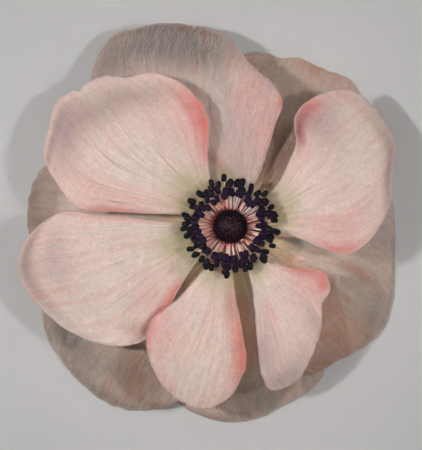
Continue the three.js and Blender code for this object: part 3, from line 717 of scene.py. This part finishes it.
def petal_finish(name, petal, seed, foot_colours):
    """Petal skin. The painted colour and the ground are mixed by the fibres, which frays the spots.
    Over that go the fan of darker veins, the fibres' and cells' own tone, the blush, the streaked
    foot with painted shade at its innermost part, the whitish net and flecks, and the rim. Light
    soaks a little way into the thin blade."""
    material, tree, shader = new_finish(name)
    tint = painted(tree, "Tint")
    marks = painted(tree, "Marks")
    split = add(tree, "SeparateColor", {0: marks.outputs["Color"]})
    foot, flecks, fan = (split.outputs[k] for k in range(3))
    cells = add(tree, "Group", {"Cell size": 0.00040, "Patch size": 0.0012}, node_tree=CELLS)
    blade_lines = add(tree, "Group", {"Seed": float(seed)}, node_tree=BLADE_PATTERNS).outputs

    fibre, streaks = blade_lines["Fibre"], blade_lines["Streaks"]
    fray = ramp(tree, fibre, 0.32, 0.62, 0.78, 1.0)
    tone = mix_colour(tree, fray, petal["ground"], tint.outputs["Color"])
    fanned = times(tree, blade_lines["Fan"], fan)
    tone = mix_colour(tree, fanned, tone, tinted(tree, tone, FAN_TINT))
    grain = times(tree, ramp(tree, fibre, 0.3, 0.7, 0.91, 1.09),
                  ramp(tree, cells.outputs["Height"], 0.3, 0.9, 0.90, 1.05),
                  ramp(tree, cells.outputs["Patches"], 0.3, 0.7, 0.95, 1.05))
    tone = toned(tree, tone, grain)
    blush = ramp(tree, streaks, 0.46, 0.68, 0.0, 0.5)
    tone = mix_colour(tree, blush, tone, tinted(tree, tone, BLUSH))
    foot_tone = mix_colour(tree, ramp(tree, streaks, 0.42, 0.58), *foot_colours)
    footed = ramp(tree, reckon(tree, "ADD", foot, times(tree, streaks, 0.9)), 0.62, 1.5, 0.0, 0.9)
    tone = mix_colour(tree, footed, tone, foot_tone)
    # The innermost foot is darkened with painted shade.
    tone = mix_colour(tree, ramp(tree, foot, 0.80, 1.00, 0.0, 0.75), tone, FOOT_PAINTED_SHADE)
    white = reckon(tree, "MAXIMUM", times(tree, blade_lines["Net"], tint.outputs["Alpha"]),
                   times(tree, blade_lines["Flecks"], flecks, FLECK_WHITENESS))
    tone = mix_colour(tree, white, tone, NET_WHITE)
    tone = mix_colour(tree, times(tree, marks.outputs["Alpha"], RIM_STRENGTH), tone, petal["rim"])
    height = reckon(tree, "ADD", cells.outputs["Height"], times(tree, fibre, FIBRE_RELIEF))
    height = reckon(tree, "ADD", height, white)
    dress(tree, shader, tone, height, 0.00005, 0.8, Roughness=0.58, Specular_IOR_Level=0.3,
          Subsurface_Weight=0.45, Subsurface_Radius=(1.0, 0.50, 0.35), Subsurface_Scale=0.0020,
          Sheen_Weight=0.05)
    return material


def grow_petal(node, petal, seed, slot, foot_colours):
    """Makes one petal, its finish and its mesh, in place of its CAD node."""
    finish = petal_finish(f"{node} skin", petal, seed, foot_colours)
    vertices, faces, shares, tint, marks = petal_surface(petal, seed)
    make_piece(f"{node}_blade", vertices, faces, finish, node, slot, shares, Tint=tint, Marks=marks)


for number, (node, petal) in enumerate(OUTER_PETALS.items()):
    grow_petal(node, {**OUTER_USUAL, **petal}, OUTER_SEED + number, "outer_petal", OUTER_FOOT_PAINTED_LIGHT)

# ---- Middle petal ----
# One large petal stands between the whorls, over the outer ones and half under the first inner
# one. Its outer half is grey, partly painted shade, and shows a net of whitish veins.

MIDDLE_SEED = 21
MIDDLE_PETAL = dict(
    outline=[(100, 4), (124, 7.2), (135, 14.2), (140, 26.6), (139, 37.2), (136, 43.4), (132, 46.6),
    (126, 49.3), (121, 50.5), (115, 49.4), (108, 48.2), (101, 46.2), (94, 43.9), (88, 40.6), (83, 36.8),
    (74, 33.6), (67, 30.1), (66, 25), (63, 18.1), (60, 12.6), (60, 8.7), (60, 4)], shoulders=(7, 16),
    bearing=107, foot=7.3, reach=46, rise=6.4, droop=9.9, tilt=0, cup=0.3, ruffle=0.7, waves=7,
    phase=0.8, curl=-0.25, ground="#c6aea8", rim="#c9a39c", net=0.45, fan=0.4, nicks=[(0.46, 1.7, 0.16),
    (0.05, 0.9, 0.5), (0.02, 0.6, 0.4)],
    spots=[("slate_shade", 30, 89, 31, 13, 90), ("slate_shade", 54, 89, 17, 11, 85), ("smoke_shade", 39, 98, 35, 4, 60),
           ("slate_shade", 11, 79, 11, 13, 60), ("ivory", 73, 87, 11, 10, 45), ("rose", 83, 81, 11, 17, 60),
           ("rose", 92, 69, 6, 15, 50), ("coral", 97, 96, 3, 8, 85), ("coral", 100, 73, 3, 19, 65),
           ("rust", 47, 34, 7, 8, 60), ("olive", 55, 26, 20, 4, 50), ("rust", 4, 100, 3, 3, 80)])

grow_petal("middle_petal", MIDDLE_PETAL, MIDDLE_SEED, "outer_petal", INNER_FOOT)

# ---- Inner petals ----
# Five petals form the upper whorl. They rise from the receptacle and arch over, and their margins
# turn down. They are the palest, a blush cream that flushes coral along some of the margins.

INNER_SEED = 31
INNER_USUAL = dict(foot=8.5, tilt=0, ruffle=0.6, curl=-0.3, ground="#e4c9c1", fan=0.6, net=0.1)
INNER_PETALS = {
    "inner_petal_1": dict(
        outline=[(159, 4.1), (164, 9.4), (171, 18.2), (173, 28.3), (173, 34.2), (166, 39.9),
        (160, 44.3), (152, 46.2), (144, 47.9), (137, 45.9), (130, 44.1), (125, 40.8), (118, 38.9),
        (110, 34.7), (103, 28), (102, 22.2), (108, 16.2), (114, 9.5), (117, 4)], shoulders=(6, 12.5),
        bearing=142, reach=44, rise=8.8, droop=10.8, cup=1, waves=7, phase=0.5, rim="#d39a94", fan=0.9,
        nicks=[(0.44, 0.8, 0.6)],
        spots=[("ivory", 50, 48, 25, 19, 75), ("rose", 80, 61, 20, 23, 45), ("rose", 12, 60, 9, 39, 40),
               ("sage", 59, 85, 41, 8, 65), ("violet", 26, 88, 17, 9, 75), ("smoke_shade", 10, 94, 25, 3, 45),
               ("coral", 97, 60, 8, 18, 95), ("coral", 96, 73, 8, 8, 60), ("coral", 98, 40, 6, 13, 55),
               ("coral", 1, 46, 4, 17, 85), ("lime", 57, 27, 20, 8, 60), ("olive", 29, 19, 29, 4, 50)]),
    "inner_petal_2": dict(
        outline=[(221, 3.9), (226, 8), (228, 13.1), (231, 18.3), (234, 23.8), (234, 30.5), (230, 34.7),
        (223, 38.8), (214, 42.7), (205, 45.8), (196, 48.3), (191, 48.7), (185, 46.5), (179, 42.3),
        (175, 37.1), (175, 31.6), (175, 23.7), (176, 15.8), (175, 9), (178, 4.1)], shoulders=(7, 13),
        bearing=203, reach=45, rise=7.2, droop=10, tilt=-0.02, cup=0.6, waves=6, phase=2, rim="#d0a59e",
        creases=[([(188, 41.5), (197, 38.8)], 0.14, 0.25), ([(194, 37), (203, 33.5)], 0.12, 0.25),
        ([(206, 35), (210, 31)], 0.12, 0.25)], shades=[(0.35, [(231, 24), (238, 23.4), (240, 31.9),
        (229, 34.8)])],
        # Its rust spot at 9 across and 71 out is painted shadow cast by inner petal 3.
        spots=[("ivory", 32, 67, 19, 19, 55), ("ivory", 68, 35, 29, 14, 45),
               ("rose", 16, 54, 17, 13, 45), ("violet", 65, 82, 27, 10, 45),
               ("smoke_shade", 69, 96, 42, 4, 60), ("coral", 99, 52, 5, 23, 40), ("coral", 0, 46, 7, 12, 95),
               ("coral", 4, 58, 4, 8, 70), ("rust", 9, 71, 7, 6, 45), ("lime", 45, 26, 27, 7, 50),
               ("olive", 77, 21, 27, 4, 45), ("olive", 16, 31, 11, 5, 40)]),
    "inner_petal_3": dict(
        outline=[(277, 4), (272, 8), (274, 13.9), (276, 20), (277, 25.3), (277, 30.3), (274, 34.4),
        (270, 38.1), (263, 41.1), (256, 41.1), (248, 39.1), (241, 36), (234, 31.9), (230, 27.4),
        (233, 21.6), (236, 15.3), (239, 9.3), (235, 4)], shoulders=(7, 11.5), bearing=256, reach=37,
        rise=10, droop=9.8, cup=0.9, ruffle=0.4, waves=8, phase=1, rim="#cc8680", net=0.06, fan=0.5,
        creases=[([(254.7, 17), (256.5, 23), (257.6, 28.2)], 0.16, 0.6)],
        spots=[("ivory", 53, 74, 17, 17, 45), ("rose", 85, 73, 18, 19, 65), ("coral", 97, 86, 6, 20, 60),
               ("rose", 67, 98, 21, 8, 40), ("coral", 4, 60, 12, 25, 85), ("coral", 1, 73, 9, 13, 65),
               ("rust", 13, 33, 15, 13, 50), ("lime", 74, 25, 28, 5, 40)]),
    "inner_petal_4": dict(
        outline=[(328, 4), (321, 9.2), (323, 14), (329, 18.6), (334, 23), (328, 26.4), (320, 26.9),
        (313, 30.1), (305, 33.2), (297, 36.6), (290, 38.2), (284, 37.8), (282, 34.3), (283, 27.3),
        (286, 20), (290, 14), (292, 8.6), (288, 4)], shoulders=(5, 11), bearing=303, reach=34.5,
        rise=8.6, droop=8.8, tilt=0.05, cup=0.9, ruffle=0.5, waves=8, phase=0.2, rim="#c97f7e",
        net=0.08, creases=[([(293, 13), (294, 20), (294, 28)], 0.14, 0.7)],
        spots=[("ivory", 86, 36, 21, 12, 50), ("rose", 20, 70, 20, 23, 60), ("coral", 1, 63, 8, 21, 90),
               ("coral", 6, 86, 10, 11, 80), ("rose", 79, 51, 12, 10, 40),
               ("violet", 95, 69, 14, 14, 50), ("violet", 84, 92, 24, 9, 65),
               ("lime", 67, 25, 32, 5, 40), ("violet", 38, 88, 6, 19, 40)]),
    "inner_petal_5": dict(
        outline=[(37, 3.9), (39, 9.2), (42, 14.6), (48, 20), (52, 24), (59, 27.5), (59, 31.9),
        (55, 36.3), (49, 40.6), (44, 41.8), (36, 42), (27, 41.6), (19, 38.5), (9, 36.5), (359, 33.3),
        (350, 29.3), (346, 25.8), (347, 20.4), (351, 14.6), (352, 8.6), (352, 4.1)],
        shoulders=(7.5, 13.5), bearing=20, reach=38, rise=8.4, droop=10.4, cup=1, waves=7, phase=1.4,
        rim="#cda59f", net=0.14, fan=0.4, creases=[([(8.2, 18), (18.7, 28.3), (14.4, 33)], 0.42, 0.8),
        ([(2, 12.5), (3, 19), (2, 26)], 0.12, 0.7)],
        spots=[("ivory", 49, 76, 16, 18, 40), ("ivory", 34, 92, 10, 8, 40), ("lime", 55, 25, 27, 6, 45),
               ("violet", 17, 74, 20, 14, 65), ("rose", 83, 59, 11, 27, 60),
               ("coral", 98, 61, 4, 20, 85), ("coral", 4, 79, 10, 9, 65), ("crimson", 4, 63, 6, 14, 95),
               ("rose", 12, 95, 21, 3, 55), ("smoke_shade", 69, 97, 28, 4, 60)]),
}

for number, (node, petal) in enumerate(INNER_PETALS.items()):
    grow_petal(node, {**INNER_USUAL, **petal}, INNER_SEED + number, "inner_petal", INNER_FOOT)

# ---- Stamens ----
# Over a hundred stamens stand in a spiral round the pistil head. Each is a thin pink or white
# filament that bends outward, tipped by a dark anther of two pollen sacs, and all grow from a
# low ring on top of the receptacle.

STAMEN_COUNT = 132
STAMEN_SEED = 7
REACH_SPREAD, HEIGHT_SPREAD = 0.65, 0.5          # millimetres
GOLDEN_TURN = math.pi * (3 - math.sqrt(5))
HEAD_NECK_RADIUS = 2.1 * MM
GAP = 0.3 * MM
UP = np.array([0.0, 0.0, 1.0])
COLLAR_RADIUS = 5.0 * MM
COLLAR_TOP = 10.6 * MM
COLLAR_SIDES = 120
ROOT_RADIUS = 3.75 * MM
ROOT_ROW = 0.27 * MM
ROOT_HEIGHT = 10.4 * MM
ROOT_ROWS = 4
BEND_REACH, BEND_RISE = 0.3, 0.8
TIP_SINK = 0.15 * MM
FILAMENT_RADIUS = 0.115 * MM
FILAMENT_SIDES = 7
FILAMENT_STEPS = 16
ANTHER_NEAR = (6.7 * MM, 13.6 * MM)
ANTHER_FAR = (10.7 * MM, 12.1 * MM)
ANTHER_LENGTH = 1.9 * MM
ANTHER_HALF_WIDTH = 0.66 * MM
ANTHER_HALF_DEPTH = 0.52 * MM
ANTHER_BEND = 0.14
GROOVE_DEPTH, GROOVE_WIDTH = 0.20, 0.32
ANTHER_SIDES = 14
ANTHER_STEPS = 12
FILAMENT_ROOT = "#b04a3c"
FILAMENT_PINK = "#fda299"
FILAMENT_WHITE = "#ffffff"
FILAMENT_TIP = "#efe0d8"
ANTHER_BLACK = "#050407"
ANTHER_BLUE = "#0f0d17"
ANTHER_PURPLE = "#1f0c28"
collar_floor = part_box("stamens")[0].z
head_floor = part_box("pistil_head")[0].z


def spokes(bearing):
    """Unit vectors outward from the axis at each bearing, and sideways to them."""
    flat = np.zeros_like(bearing)
    return (np.stack([np.cos(bearing), np.sin(bearing), flat], axis=-1),
            np.stack([-np.sin(bearing), np.cos(bearing), flat], axis=-1))


def stamen_layout():
    """Golden turns for bearings; radius and height run evenly from the inmost to the outermost
    anther, each with a small draw."""
    draw = np.random.default_rng(STAMEN_SEED)
    number = np.arange(STAMEN_COUNT)
    share = (number + 0.5) / STAMEN_COUNT
    bearing = number * GOLDEN_TURN + draw.uniform(-0.07, 0.07, STAMEN_COUNT)
    reach = ANTHER_NEAR[0] + (ANTHER_FAR[0] - ANTHER_NEAR[0]) * share ** 1.1
    reach += draw.uniform(-REACH_SPREAD, REACH_SPREAD, STAMEN_COUNT) * MM
    height = ANTHER_NEAR[1] + (ANTHER_FAR[1] - ANTHER_NEAR[1]) * share
    height += draw.uniform(0, HEIGHT_SPREAD, STAMEN_COUNT) * MM
    return draw, number, share, bearing, reach, height


def filament_surface(number, bearing, reach, height):
    """Rods along a curve of three control points: the root in the collar, a point that is most of
    the way up, and the anther's middle. They taper a little."""
    outward, sideways = spokes(bearing)
    root_radius = ROOT_RADIUS + ROOT_ROW * (number % ROOT_ROWS)
    root = AXIS + root_radius[:, None] * outward + ROOT_HEIGHT * UP
    bend_radius = root_radius + (reach - root_radius) * BEND_REACH
    bend_height = ROOT_HEIGHT + (height - ROOT_HEIGHT) * BEND_RISE
    bend = AXIS + bend_radius[:, None] * outward + bend_height[:, None] * UP
    tip = AXIS + reach[:, None] * outward + (height - TIP_SINK)[:, None] * UP
    t = np.linspace(0, 1, FILAMENT_STEPS)[None, :, None]
    paths = (1 - t) ** 2 * root[:, None] + 2 * t * (1 - t) * bend[:, None] + t ** 2 * tip[:, None]
    taper = 1.15 - 0.35 * t[:, 1:-1]
    radii = np.broadcast_to(FILAMENT_RADIUS * taper, (len(bearing), FILAMENT_STEPS - 2, FILAMENT_SIDES))
    return rods(paths, radii, sideways)


def anther_surface(draw, bearing, reach, height):
    """Rods with an oval section and a groove along the top and underside, which leaves two sacs.
    Their long axes point outward, turned, tipped and rolled by small draws."""
    count = len(bearing)
    yaw = bearing + draw.uniform(-0.55, 0.55, count)
    pitch = draw.uniform(-0.35, 0.25, count)
    roll = draw.uniform(-0.5, 0.5, count)
    size = draw.uniform(0.86, 1.1, count)
    along = np.stack([np.cos(yaw) * np.cos(pitch), np.sin(yaw) * np.cos(pitch), np.sin(pitch)], axis=-1)
    flat = spokes(yaw)[1]
    above = np.cross(along, flat)
    sideways = flat * np.cos(roll)[:, None] + above * np.sin(roll)[:, None]
    centre = AXIS + np.stack([reach * np.cos(bearing), reach * np.sin(bearing), height], axis=-1)
    t = np.linspace(-0.5, 0.5, ANTHER_STEPS)
    curve = ANTHER_BEND * ANTHER_LENGTH * (4 * t ** 2)
    paths = (centre[:, None] + (ANTHER_LENGTH * size)[:, None, None] * t[None, :, None] * along[:, None]
             - curve[None, :, None] * above[:, None])
    turn = round_turn(ANTHER_SIDES)
    oval = 1 / np.sqrt((np.cos(turn) / ANTHER_HALF_DEPTH) ** 2 + (np.sin(turn) / ANTHER_HALF_WIDTH) ** 2)
    groove = 1 - GROOVE_DEPTH * bell(np.sin(turn) / GROOVE_WIDTH)
    swell = (1 - (2 * t[1:-1]) ** 4) ** 0.5
    radii = size[:, None, None] * swell[None, :, None] * (oval * groove)[None, None, :]
    return rods(paths, radii, sideways)


def make_rods(name, node, finish, surface, tones):
    """A piece made of rods. Its marks are the share along a rod and that rod's own tone."""
    vertices, faces, rod, along = surface
    marks = np.stack([along, tones[rod], np.zeros_like(along), np.ones_like(along)], axis=-1)
    make_piece(name, vertices, faces, finish, node, node, Marks=marks)


def rod_finish(name, stops, second, roughness, shine, relief_height, soak):
    """A finish whose colour runs along each rod through the stops, each a place and a colour, and
    is mixed with a second colour by the rod's own tone. Over it lies a mealy grain."""
    material, tree, shader = new_finish(name)
    marks = painted(tree, "Marks")
    split = add(tree, "SeparateColor", {0: marks.outputs["Color"]})
    run = add(tree, "ValToRGB", {0: split.outputs[0]})
    for index, (place, colour) in enumerate(stops):
        stop = run.color_ramp.elements[index] if index < 2 else run.color_ramp.elements.new(place)
        stop.position, stop.color = place, linear(colour)
    colour = mix_colour(tree, split.outputs[1], run.outputs[0], second)
    cells = add(tree, "Group", {"Cell size": 0.00013, "Patch size": 0.001}, node_tree=CELLS)
    grain = ramp(tree, cells.outputs["Patches"], 0.3, 0.7, 0.8, 1.2)
    dress(tree, shader, toned(tree, colour, grain), cells.outputs["Height"], relief_height, 0.8,
          Roughness=roughness, Specular_IOR_Level=shine, Subsurface_Weight=soak,
          Subsurface_Radius=(1.0, 0.5, 0.4), Subsurface_Scale=0.0003)
    return material


def collar_surface():
    """A turned ring, lowest outside: its closed profile is carried once round the axis."""
    inside = HEAD_NECK_RADIUS + GAP
    floor = collar_floor
    profile = np.array([(inside, floor), (FOOT_RADIUS - 0.1 * MM, floor), (COLLAR_RADIUS, floor + 0.5 * MM),
                        (COLLAR_RADIUS, COLLAR_TOP - 0.4 * MM), (COLLAR_RADIUS - 0.6 * MM, COLLAR_TOP),
                        (inside, COLLAR_TOP)])
    ring = profile[None, :, 0, None] * heading(np.degrees(round_turn(COLLAR_SIDES)))[:, None, :]
    lift = np.broadcast_to(profile[None, :, 1, None], (COLLAR_SIDES, len(profile), 1))
    vertices = np.concatenate([ring + AXIS[:2], lift], axis=2).reshape(-1, 3)
    place = np.arange(COLLAR_SIDES * len(profile)).reshape(COLLAR_SIDES, len(profile))
    beside, after = np.roll(place, -1, axis=0), np.roll(place, -1, axis=1)
    faces = np.stack([place, beside, np.roll(beside, -1, axis=1), after], axis=-1).reshape(-1, 4)
    return vertices, faces.tolist()


draw, numbers, shares, bearings, reaches, heights = stamen_layout()
filament_skin = rod_finish("Filament skin", [(0, FILAMENT_ROOT), (1, FILAMENT_TIP), (0.25, FILAMENT_PINK),
                                             (0.85, FILAMENT_PINK)], FILAMENT_WHITE, 0.32, 0.55, 0.00001, 0.3)
anther_skin = rod_finish("Anther skin", [(0, ANTHER_BLACK), (1, ANTHER_BLACK), (0.5, ANTHER_BLUE)],
                         ANTHER_PURPLE, 0.5, 0.14, 0.00002, 0.0)
collar_vertices, collar_faces = collar_surface()
make_piece("stamen_ring", collar_vertices, collar_faces, filament_skin, "stamens", "stamens",
           Marks=np.zeros((len(collar_vertices), 4)))
# Each filament's tone is drawn, then made whiter the more it points towards the top or bottom of the view,
# across the side lamps: that part is a painted highlight.
tones = draw.uniform(0, 1, STAMEN_COUNT) ** 1.2 * (0.5 + 0.5 * np.abs(np.sin(bearings)))
make_rods("filaments", "stamens", filament_skin,
          filament_surface(numbers, bearings, reaches, heights), tones)
surface = anther_surface(draw, bearings, reaches, heights)
tones = np.clip(0.9 - 1.1 * shares + draw.uniform(-0.2, 0.2, STAMEN_COUNT), 0, 1)
make_rods("anthers", "stamens", anther_skin, surface, tones)

# ---- Pistil head ----
# The middle of the flower is a dome of hundreds of small pistils on a short neck, packed in a
# spiral. Each ends in a style that curls towards the crown. All are purple-black.

STYLE_COUNT = 340
STYLE_SEED = 3
STYLE_COVER = 0.97          # the styles cover this share of the dome's height
HEAD_RADIUS = 3.7 * MM
HEAD_WAIST = 11.9 * MM
HEAD_TOP = 14.9 * MM
HEAD_SIDES = 72
DOME_ROWS = 26
STYLE_RADIUS = 0.16 * MM
STYLE_SUNK = 0.25 * MM
STYLE_SIDES = 5
STYLE_STEPS = 7
STYLE_ROOT = "#070205"
STYLE_MIDDLE = "#13060e"
STYLE_TIP = "#241020"
STYLE_MAUVE = "#84496a"
MAUVE_MOST = 0.9


def dome(fall):
    """Radius and height of the dome at an angle from its crown."""
    return HEAD_RADIUS * np.sin(fall), HEAD_WAIST + (HEAD_TOP - HEAD_WAIST) * np.cos(fall)


def head_surface():
    """A turned dome: a neck inside the stamens' ring, a rounded underside, and a quarter of an
    ellipse from the waist to the crown."""
    dome_radius, dome_height = dome(np.linspace(np.pi / 2, 0.02, DOME_ROWS))
    radii = np.concatenate([np.array([2.1, 2.1, 2.1, 2.4, 3.0, 3.5]) * MM, dome_radius])
    heights = np.concatenate([np.array([0, 0.4, 1.6, 1.7, 1.75, 2.1]) * MM + head_floor, dome_height])
    path = np.zeros((1, len(heights) + 2, 3))
    path[0, 1:-1, 2] = heights
    path[0, 0, 2], path[0, -1, 2] = head_floor, HEAD_TOP
    section = np.broadcast_to(radii[None, :, None], (1, len(radii), HEAD_SIDES))
    return rods(path + AXIS, section, np.array([[0.0, 1.0, 0.0]]))


def style_surface():
    """Short tapered rods in golden turns over the dome, rooted below its surface. Each leaves it
    squarely and then bends up towards the crown and a little round it. Also gives each one's
    nearness to the crown."""
    draw = np.random.default_rng(STYLE_SEED)
    number = np.arange(STYLE_COUNT)
    fall = np.arccos(1 - STYLE_COVER * (number + 0.5) / STYLE_COUNT) + draw.uniform(-0.03, 0.03, STYLE_COUNT)
    bearing = number * GOLDEN_TURN + draw.uniform(-0.05, 0.05, STYLE_COUNT) / np.sin(np.abs(fall) + 0.1)
    outward, sideways = spokes(bearing)
    sine, cosine = np.sin(fall)[:, None], np.cos(fall)[:, None]
    square = sine * outward + cosine * UP
    climb = -cosine * outward + sine * UP
    radius, height = dome(fall)
    base = AXIS + radius[:, None] * outward + height[:, None] * UP
    t = np.linspace(0, 1, STYLE_STEPS)[None, :, None]
    stand = (0.34 + draw.uniform(-0.06, 0.06, STYLE_COUNT))[:, None, None] * MM
    curl = draw.uniform(0.10, 0.34, STYLE_COUNT)[:, None, None] * MM
    twist = draw.uniform(-0.25, 0.35, STYLE_COUNT)[:, None, None] * MM
    paths = (base[:, None] + square[:, None] * (-STYLE_SUNK + (STYLE_SUNK + stand) * t)
             + climb[:, None] * curl * t ** 2 + sideways[:, None] * twist * t ** 2)
    radii = STYLE_RADIUS * (1 - 0.55 * t[:, 1:-1] ** 2)
    radii = np.broadcast_to(radii, (STYLE_COUNT, STYLE_STEPS - 2, STYLE_SIDES))
    return *rods(paths, radii, sideways), smooth_step(1.0, 0.2, fall) * draw.uniform(0.3, 1, STYLE_COUNT)


head_skin = rod_finish("Pistil head skin", [(0, STYLE_ROOT), (1, STYLE_TIP), (0.6, STYLE_MIDDLE)],
                       STYLE_MAUVE, 0.5, 0.15, 0.00002, 0.0)
vertices, faces, rod, along = head_surface()
make_rods("pistil_dome", "pistil_head", head_skin, (vertices, faces, rod, 0 * along), np.zeros(1))
*surface, crown = style_surface()
make_rods("pistil_styles", "pistil_head", head_skin, surface, MAUVE_MOST * crown)

# ---- Table, light and camera ----
# The flower lies on a plain pale table between two soft lamps, one at each side, under a weaker
# one overhead. The camera looks straight down on it through a long lens.

TABLE_HALF = 1.2
TABLE_PALE = "#c2c3c4"
FRAME_PIXELS = (422, 450)
PIXEL = 0.225 * MM
CAMERA_DISTANCE = 0.85
SHARP_HEIGHT = 6 * MM
AXIS_PIXEL = (230, 226.5)
LAMP_COLOUR = (1.0, 0.985, 0.96)
LAMP_SIZE = 0.05
ROOM_COLOUR = (1.0, 0.96, 0.91, 1.0)
ROOM_STRENGTH = 0.18
NEAREST_SEEN, FARTHEST_SEEN = 0.01, 10.0


def lamp(name, place, power, beam=180):
    """A square lamp aimed at the flower's middle, its beam that many degrees wide."""
    data = bpy.data.lights.new(name, "AREA")
    data.size = LAMP_SIZE
    data.energy = power
    data.spread = math.radians(beam)
    data.color = LAMP_COLOUR
    made = put_in_scene(name, data)
    made.location = place
    made.rotation_euler = (-made.location).to_track_quat("-Z", "Y").to_euler()


table_mesh = bpy.data.meshes.new("table")
corners = [(-1, -1), (1, -1), (1, 1), (-1, 1)]
table_mesh.from_pydata([(x * TABLE_HALF, y * TABLE_HALF, 0) for x, y in corners], [], [(0, 1, 2, 3)])
table_finish, _, table_shader = new_finish("Table")
table_shader.inputs["Base Color"].default_value = linear(TABLE_PALE)
table_shader.inputs["Roughness"].default_value = 0.9
table_mesh.materials.append(table_finish)
put_in_scene("table", table_mesh)

lamp("left lamp", (-0.48, 0.08, 0.48), 2.5)
lamp("right lamp", (0.48, 0.03, 0.50), 1.5)
lamp("overhead lamp", (0.0, 0.0, 0.90), 0.0085, 10)

world = bpy.data.worlds.new("room")
world.use_nodes = True
background = world.node_tree.nodes["Background"]
background.inputs[0].default_value, background.inputs[1].default_value = ROOM_COLOUR, ROOM_STRENGTH
bpy.context.scene.world = world

camera_data = bpy.data.cameras.new("camera")
camera_data.lens = camera_data.sensor_width * CAMERA_DISTANCE / (FRAME_PIXELS[1] * PIXEL)
camera_data.clip_start, camera_data.clip_end = NEAREST_SEEN, FARTHEST_SEEN
camera = put_in_scene("camera", camera_data)
camera.location = (
    AXIS[0] + (FRAME_PIXELS[0] / 2 - AXIS_PIXEL[0]) * PIXEL,
    AXIS[1] - (FRAME_PIXELS[1] / 2 - AXIS_PIXEL[1]) * PIXEL,
    SHARP_HEIGHT + CAMERA_DISTANCE,
)
bpy.context.scene.camera = camera
bpy.context.scene.view_settings.view_transform = "Standard"
